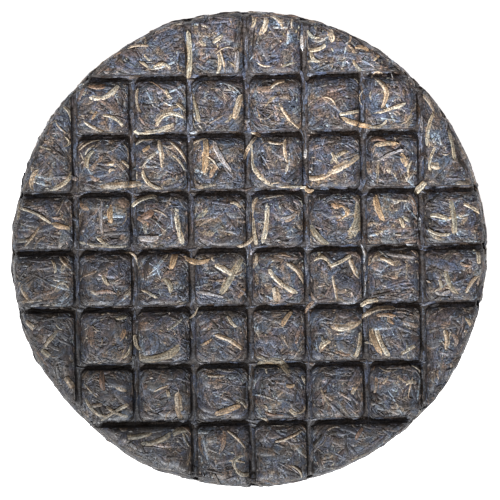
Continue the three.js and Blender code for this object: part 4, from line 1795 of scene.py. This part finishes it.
@dataclass
class ShownLayer(LeafLayer):
    """The strips that stand out, each where it lies on the real cake.

    Args:
        strips: The strips.
        fullness: How much longer and broader a strip is made than it shows, since its dark edges and
            its thin tips don't show.
        levels: How many heights, from the lowest lift to the highest, the strips take in turn.
    """

    strips: tuple[ShownStrip, ...] = ()
    fullness: tuple[float, float] = (1.1, 1.4)
    levels: int = 5

    def inputs(self) -> dict[str, float]:
        """None, since nothing is scattered."""
        return {}

    def seated(self, graph: Graph, body: PressedBody) -> Wire:
        """The strips' own points, which already know everything."""
        return source_input(graph, "Geometry")

    def starting_points(self) -> bpy.types.Mesh:
        """One point for each strip, with its sizes as attributes."""
        mesh = bpy.data.meshes.new(self.name)
        mesh.from_pydata([(*(strip.seat() * MM), 0.0) for strip in self.strips], [], [])
        low, high = self.lift
        step = (high - low) / (self.levels - 1)
        longer, broader = self.fullness
        numbers = {
            "length": [strip.chord().length * MM * longer for strip in self.strips],
            "width": [strip.width * MM * broader for strip in self.strips],
            "bow": [strip.bow() * MM for strip in self.strips],
            "lift": [low + step * (index % self.levels) for index in range(len(self.strips))],
            "tint": [(SHOWN_TONES.index(strip.tone) + 0.5) / len(SHOWN_TONES) for strip in self.strips],
            "loose": [float(strip.is_loose(Grid())) for strip in self.strips],
        }
        for name, values in numbers.items():
            mesh.attributes.new(name, "FLOAT", "POINT").data.foreach_set("value", values)
        vectors = {
            "ahead": [(*strip.chord().normalized(), 0.0) for strip in self.strips],
            "left": [(*strip.left(), 0.0) for strip in self.strips],
        }
        for name, values in vectors.items():
            mesh.attributes.new(name, "FLOAT_VECTOR", "POINT").data.foreach_set("vector", np.ravel(values))
        return mesh


@dataclass(frozen=True)
class Lamp:
    """A round soft light that looks at the cake.

    Args:
        name: Its name.
        place: Where it is.
        size: How wide it is.
        watts: Its power.
        colour: Its colour.
    """

    name: str
    place: Triple
    size: float
    watts: float
    colour: Colour

    def build(self) -> None:
        """Makes the light."""
        data = bpy.data.lights.new(self.name, "AREA")
        data.shape = "DISK"
        data.size = self.size
        data.energy = self.watts
        data.color = self.colour
        lamp = bpy.data.objects.new(self.name, data)
        lamp.location = self.place
        lamp.rotation_euler = (-Vector(self.place)).to_track_quat("-Z", "Y").to_euler()
        bpy.context.scene.collection.objects.link(lamp)


@dataclass(frozen=True)
class Studio:
    """The plain pale floor, soft light and the camera.

    Args:
        span: The width that the camera shows, at the cake's widest ring.
        height: The camera's height.
        aim: Where the camera looks, across and away.
        sensor: The width of its sensor in millimetres.
        lamps: The lights.
        fill: The strength of the light from all round.
        backdrop: Its colour.
        floor_half: Half the floor's width.
        floor_shade: How light the floor is.
        floor_roughness: Its roughness.
        floor_glow: How much it shines of itself, so that it shows as plain white.
    """

    span: float = 210.75 * MM
    height: float = 1.3
    aim: Spot = mm(0.4, -0.25)
    sensor: float = 36.0
    lamps: tuple[Lamp, ...] = (
        Lamp("key", (-0.75, -2.75, 2.65), 0.66, 320.0, (0.965, 0.975, 0.99)),
        Lamp("sky", (0.1, 0.7, 1.3), 1.2, 2.0, (0.90, 0.94, 1.0)),
    )
    fill: float = 0.28
    backdrop: Colour = (1.0, 0.80, 0.66)
    floor_half: float = 3.0
    floor_shade: float = 0.85
    floor_roughness: float = 0.9
    floor_glow: float = 0.9

    def floor(self) -> None:
        """Makes the floor."""
        mesh = bpy.data.meshes.new("floor")
        half = self.floor_half
        corners = [(-half, -half, 0), (half, -half, 0), (half, half, 0), (-half, half, 0)]
        mesh.from_pydata(corners, [], [(0, 1, 2, 3)])
        floor = bpy.data.objects.new("floor", mesh)
        bpy.context.scene.collection.objects.link(floor)
        material = bpy.data.materials.new("pale_floor")
        material.use_nodes = True
        inputs = material.node_tree.nodes["Principled BSDF"].inputs
        inputs["Base Color"].default_value = (*[self.floor_shade] * 3, 1)
        inputs["Roughness"].default_value = self.floor_roughness
        inputs["Emission Color"].default_value = (1, 1, 1, 1)
        inputs["Emission Strength"].default_value = self.floor_glow
        mesh.materials.append(material)

    def surroundings(self) -> None:
        """Makes the light from all round."""
        world = bpy.data.worlds.new("studio")
        world.use_nodes = True
        inputs = world.node_tree.nodes["Background"].inputs
        inputs["Color"].default_value = (*self.backdrop, 1)
        inputs["Strength"].default_value = self.fill
        bpy.context.scene.world = world

    def camera(self, belly: float) -> None:
        """Makes the camera, which looks straight down.

        Args:
            belly: The height of the cake's widest ring.
        """
        data = bpy.data.cameras.new("camera")
        data.sensor_width = self.sensor
        data.lens = self.sensor * (self.height - belly) / self.span
        camera = bpy.data.objects.new("camera", data)
        camera.location = (*self.aim, self.height)
        bpy.context.scene.collection.objects.link(camera)
        bpy.context.scene.camera = camera
        bpy.context.scene.view_settings.view_transform = "Standard"

    def build(self, belly: float) -> None:
        """Makes the whole studio.

        Args:
            belly: The height of the cake's widest ring.
        """
        self.floor()
        for lamp in self.lamps:
            lamp.build()
        self.surroundings()
        self.camera(belly)


DARK_TONES = ((0.0, Tone.SOOT), (0.3, Tone.PLUM), (0.6, Tone.SLATE), (0.88, Tone.EARTH), (1.0, Tone.ASH))
BROAD_FINISH = LeafFinish(
    "broad_leaf", (0.38, 0.6),
    tones=((0.0, Tone.PLUM), (0.5, Tone.SLATE), (0.8, Tone.BARK), (1.0, Tone.EARTH)),
)
TWISTED_FINISH = LeafFinish("twisted_leaf", tones=DARK_TONES)
FIBRE_FINISH = LeafFinish(
    "fibre", contrast=0.9,
    tones=((0.0, Tone.PLUM), (0.45, Tone.SLATE), (0.8, Tone.EARTH), (1.0, Tone.ASH)),
)
CRUMB_FINISH = LeafFinish(
    "crumb", contrast=0.5, edge_line=0.0, flecks=0.3,
    tones=((0.0, Tone.PLUM), (0.35, Tone.SLATE), (0.6, Tone.EARTH), (0.85, Tone.ASH), (1.0, Tone.STRAW)),
)
BROWN_FINISH = LeafFinish(
    "brown_leaf", stain=0.5, motley=0.5,
    tones=((0.0, Tone.EARTH), (0.4, Tone.OLIVE), (0.8, Tone.RUSSET), (1.0, Tone.AMBER)),
)
# The groove leaves' painted light runs more strongly from darker at the near side to brighter at the far
# side
GROOVE_FINISH = LeafFinish(
    "groove_leaf", motley=0.5, ends=(0.2, 1.7),
    tones=((0.0, Tone.SOOT), (0.2, Tone.PEAT), (0.35, Tone.INK), (0.9, Tone.SLATE), (1.0, Tone.ASH)),
)
PALE_FINISH = LeafFinish(
    "pale_stem", (0.5, 0.7), contrast=0.65, stain=0.6, motley=0.3,
    tones=((0.0, Tone.EARTH), (0.5, Tone.TAN), (1.0, Tone.STRAW)),
)
SHOWN_FINISH = LeafFinish(
    "shown_strip", (0.5, 0.7), contrast=0.65, stain=0.75, motley=0.3, steps=True,
    tones=tuple((index / len(SHOWN_TONES), tone) for index, tone in enumerate(SHOWN_TONES)),
)

LAYERS = (
    LeafLayer(
        "broad_leaves", Seat.FACE, BROAD_FINISH, density=60000, seed=11, length=mm(9, 19),
        width=mm(2.8, 6.5), thickness=0.22 * MM, lift=mm(0, 0.3), tilt=0.1, steps=(7, 4),
    ),
    LeafLayer(
        "twisted_leaves", Seat.FACE, TWISTED_FINISH, density=120000, seed=12, length=mm(6, 17),
        width=mm(0.8, 2.3), thickness=0.3 * MM, lift=mm(0.05, 0.45), follow=0.55, loose=0.02, calm=0.75,
        steps=(8, 3),
    ),
    LeafLayer(
        "fibres", Seat.FACE, FIBRE_FINISH, density=130000, seed=13, length=mm(3, 11), width=mm(0.4, 0.9),
        thickness=0.25 * MM, lift=mm(0.2, 0.6), follow=0.6, calm=0.9, steps=(6, 2),
    ),
    LeafLayer(
        "crumbs", Seat.FACE, CRUMB_FINISH, density=330000, seed=21, length=mm(0.8, 2.6), width=mm(0.4, 1.1),
        thickness=0.3 * MM, lift=mm(0.2, 0.7), bow=mm(0, 0), sway=0.0, tilt=0.5, order=0.3, steps=(2, 2),
    ),
    LeafLayer(
        "upper_leaves", Seat.FACE, BROAD_FINISH, density=9000, seed=22, length=mm(7, 15),
        width=mm(2.5, 5.5), thickness=0.2 * MM, lift=mm(0.35, 0.6), tilt=0.06, follow=0.4, steps=(7, 4),
    ),
    LeafLayer(
        "brown_leaves", Seat.FACE, BROWN_FINISH, density=4500, seed=14, length=mm(4, 12),
        width=mm(0.8, 2.2), thickness=0.35 * MM, lift=mm(0.3, 0.6), loose=0.06, steps=(9, 4), point=0.35,
    ),
    LeafLayer(
        "pale_stems", Seat.FACE, PALE_FINISH, density=2200, seed=15, length=mm(3, 10), width=mm(0.6, 1.3),
        thickness=0.4 * MM, lift=mm(0.4, 0.7), bow=mm(-2, 2), loose=0.15, steps=(10, 4),
    ),
    LeafLayer(
        "groove_leaves", Seat.GROOVES, GROOVE_FINISH, density=160000, seed=16, length=mm(3, 9),
        width=mm(0.5, 1.6), thickness=0.25 * MM, lift=mm(0, 0.25), bow=mm(-0.3, 0.3), sway=0.2 * MM,
        steps=(6, 3),
    ),
    LeafLayer(
        "rim_leaves", Seat.RIM, TWISTED_FINISH, density=260000, seed=17, length=mm(7, 20),
        width=mm(0.9, 2.6), thickness=0.35 * MM, lift=mm(0, 0.25), tilt=0.15, order=0.45, steps=(8, 3),
    ),
    LeafLayer(
        "rim_brown_leaves", Seat.RIM, BROWN_FINISH, density=20000, seed=18, length=mm(6, 17),
        width=mm(0.8, 2.0), thickness=0.4 * MM, lift=mm(0.1, 0.3), tilt=0.15, order=0.5, steps=(8, 3),
    ),
    LeafLayer(
        "rim_frays", Seat.RIM, TWISTED_FINISH, density=30000, seed=23, length=mm(4, 12), width=mm(0.7, 1.4),
        thickness=0.4 * MM, lift=mm(0.1, 0.6), tilt=0.8, order=0.5, steps=(7, 3),
    ),
    LeafLayer(
        "underside_leaves", Seat.UNDERSIDE, TWISTED_FINISH, density=60000, seed=19, length=mm(8, 18),
        width=mm(1.4, 4.5), thickness=0.2 * MM, lift=mm(0.05, 0.28), tilt=0.04, steps=(6, 3),
    ),
)
SHOWN_LAYER = ShownLayer(
    "shown_strips", Seat.FACE, SHOWN_FINISH, thickness=0.5 * MM, lift=mm(0.4, 0.8), sway=0.6 * MM,
    steps=(14, 4), point=0.25, strips=SHOWN_STRIPS,
)


def main() -> None:
    """Builds the cake's pieces and the studio, and reports each piece."""
    logging.basicConfig(level=logging.INFO, format="%(name)s %(message)s")
    low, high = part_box(NODE_NAME)
    body = PressedBody(radius=(high.x - low.x) / 2, grid=Grid())
    body.build()
    for layer in (*LAYERS, SHOWN_LAYER):
        layer.build(body)
    Studio().build(body.belly)


if __name__ == "__main__":
    main()
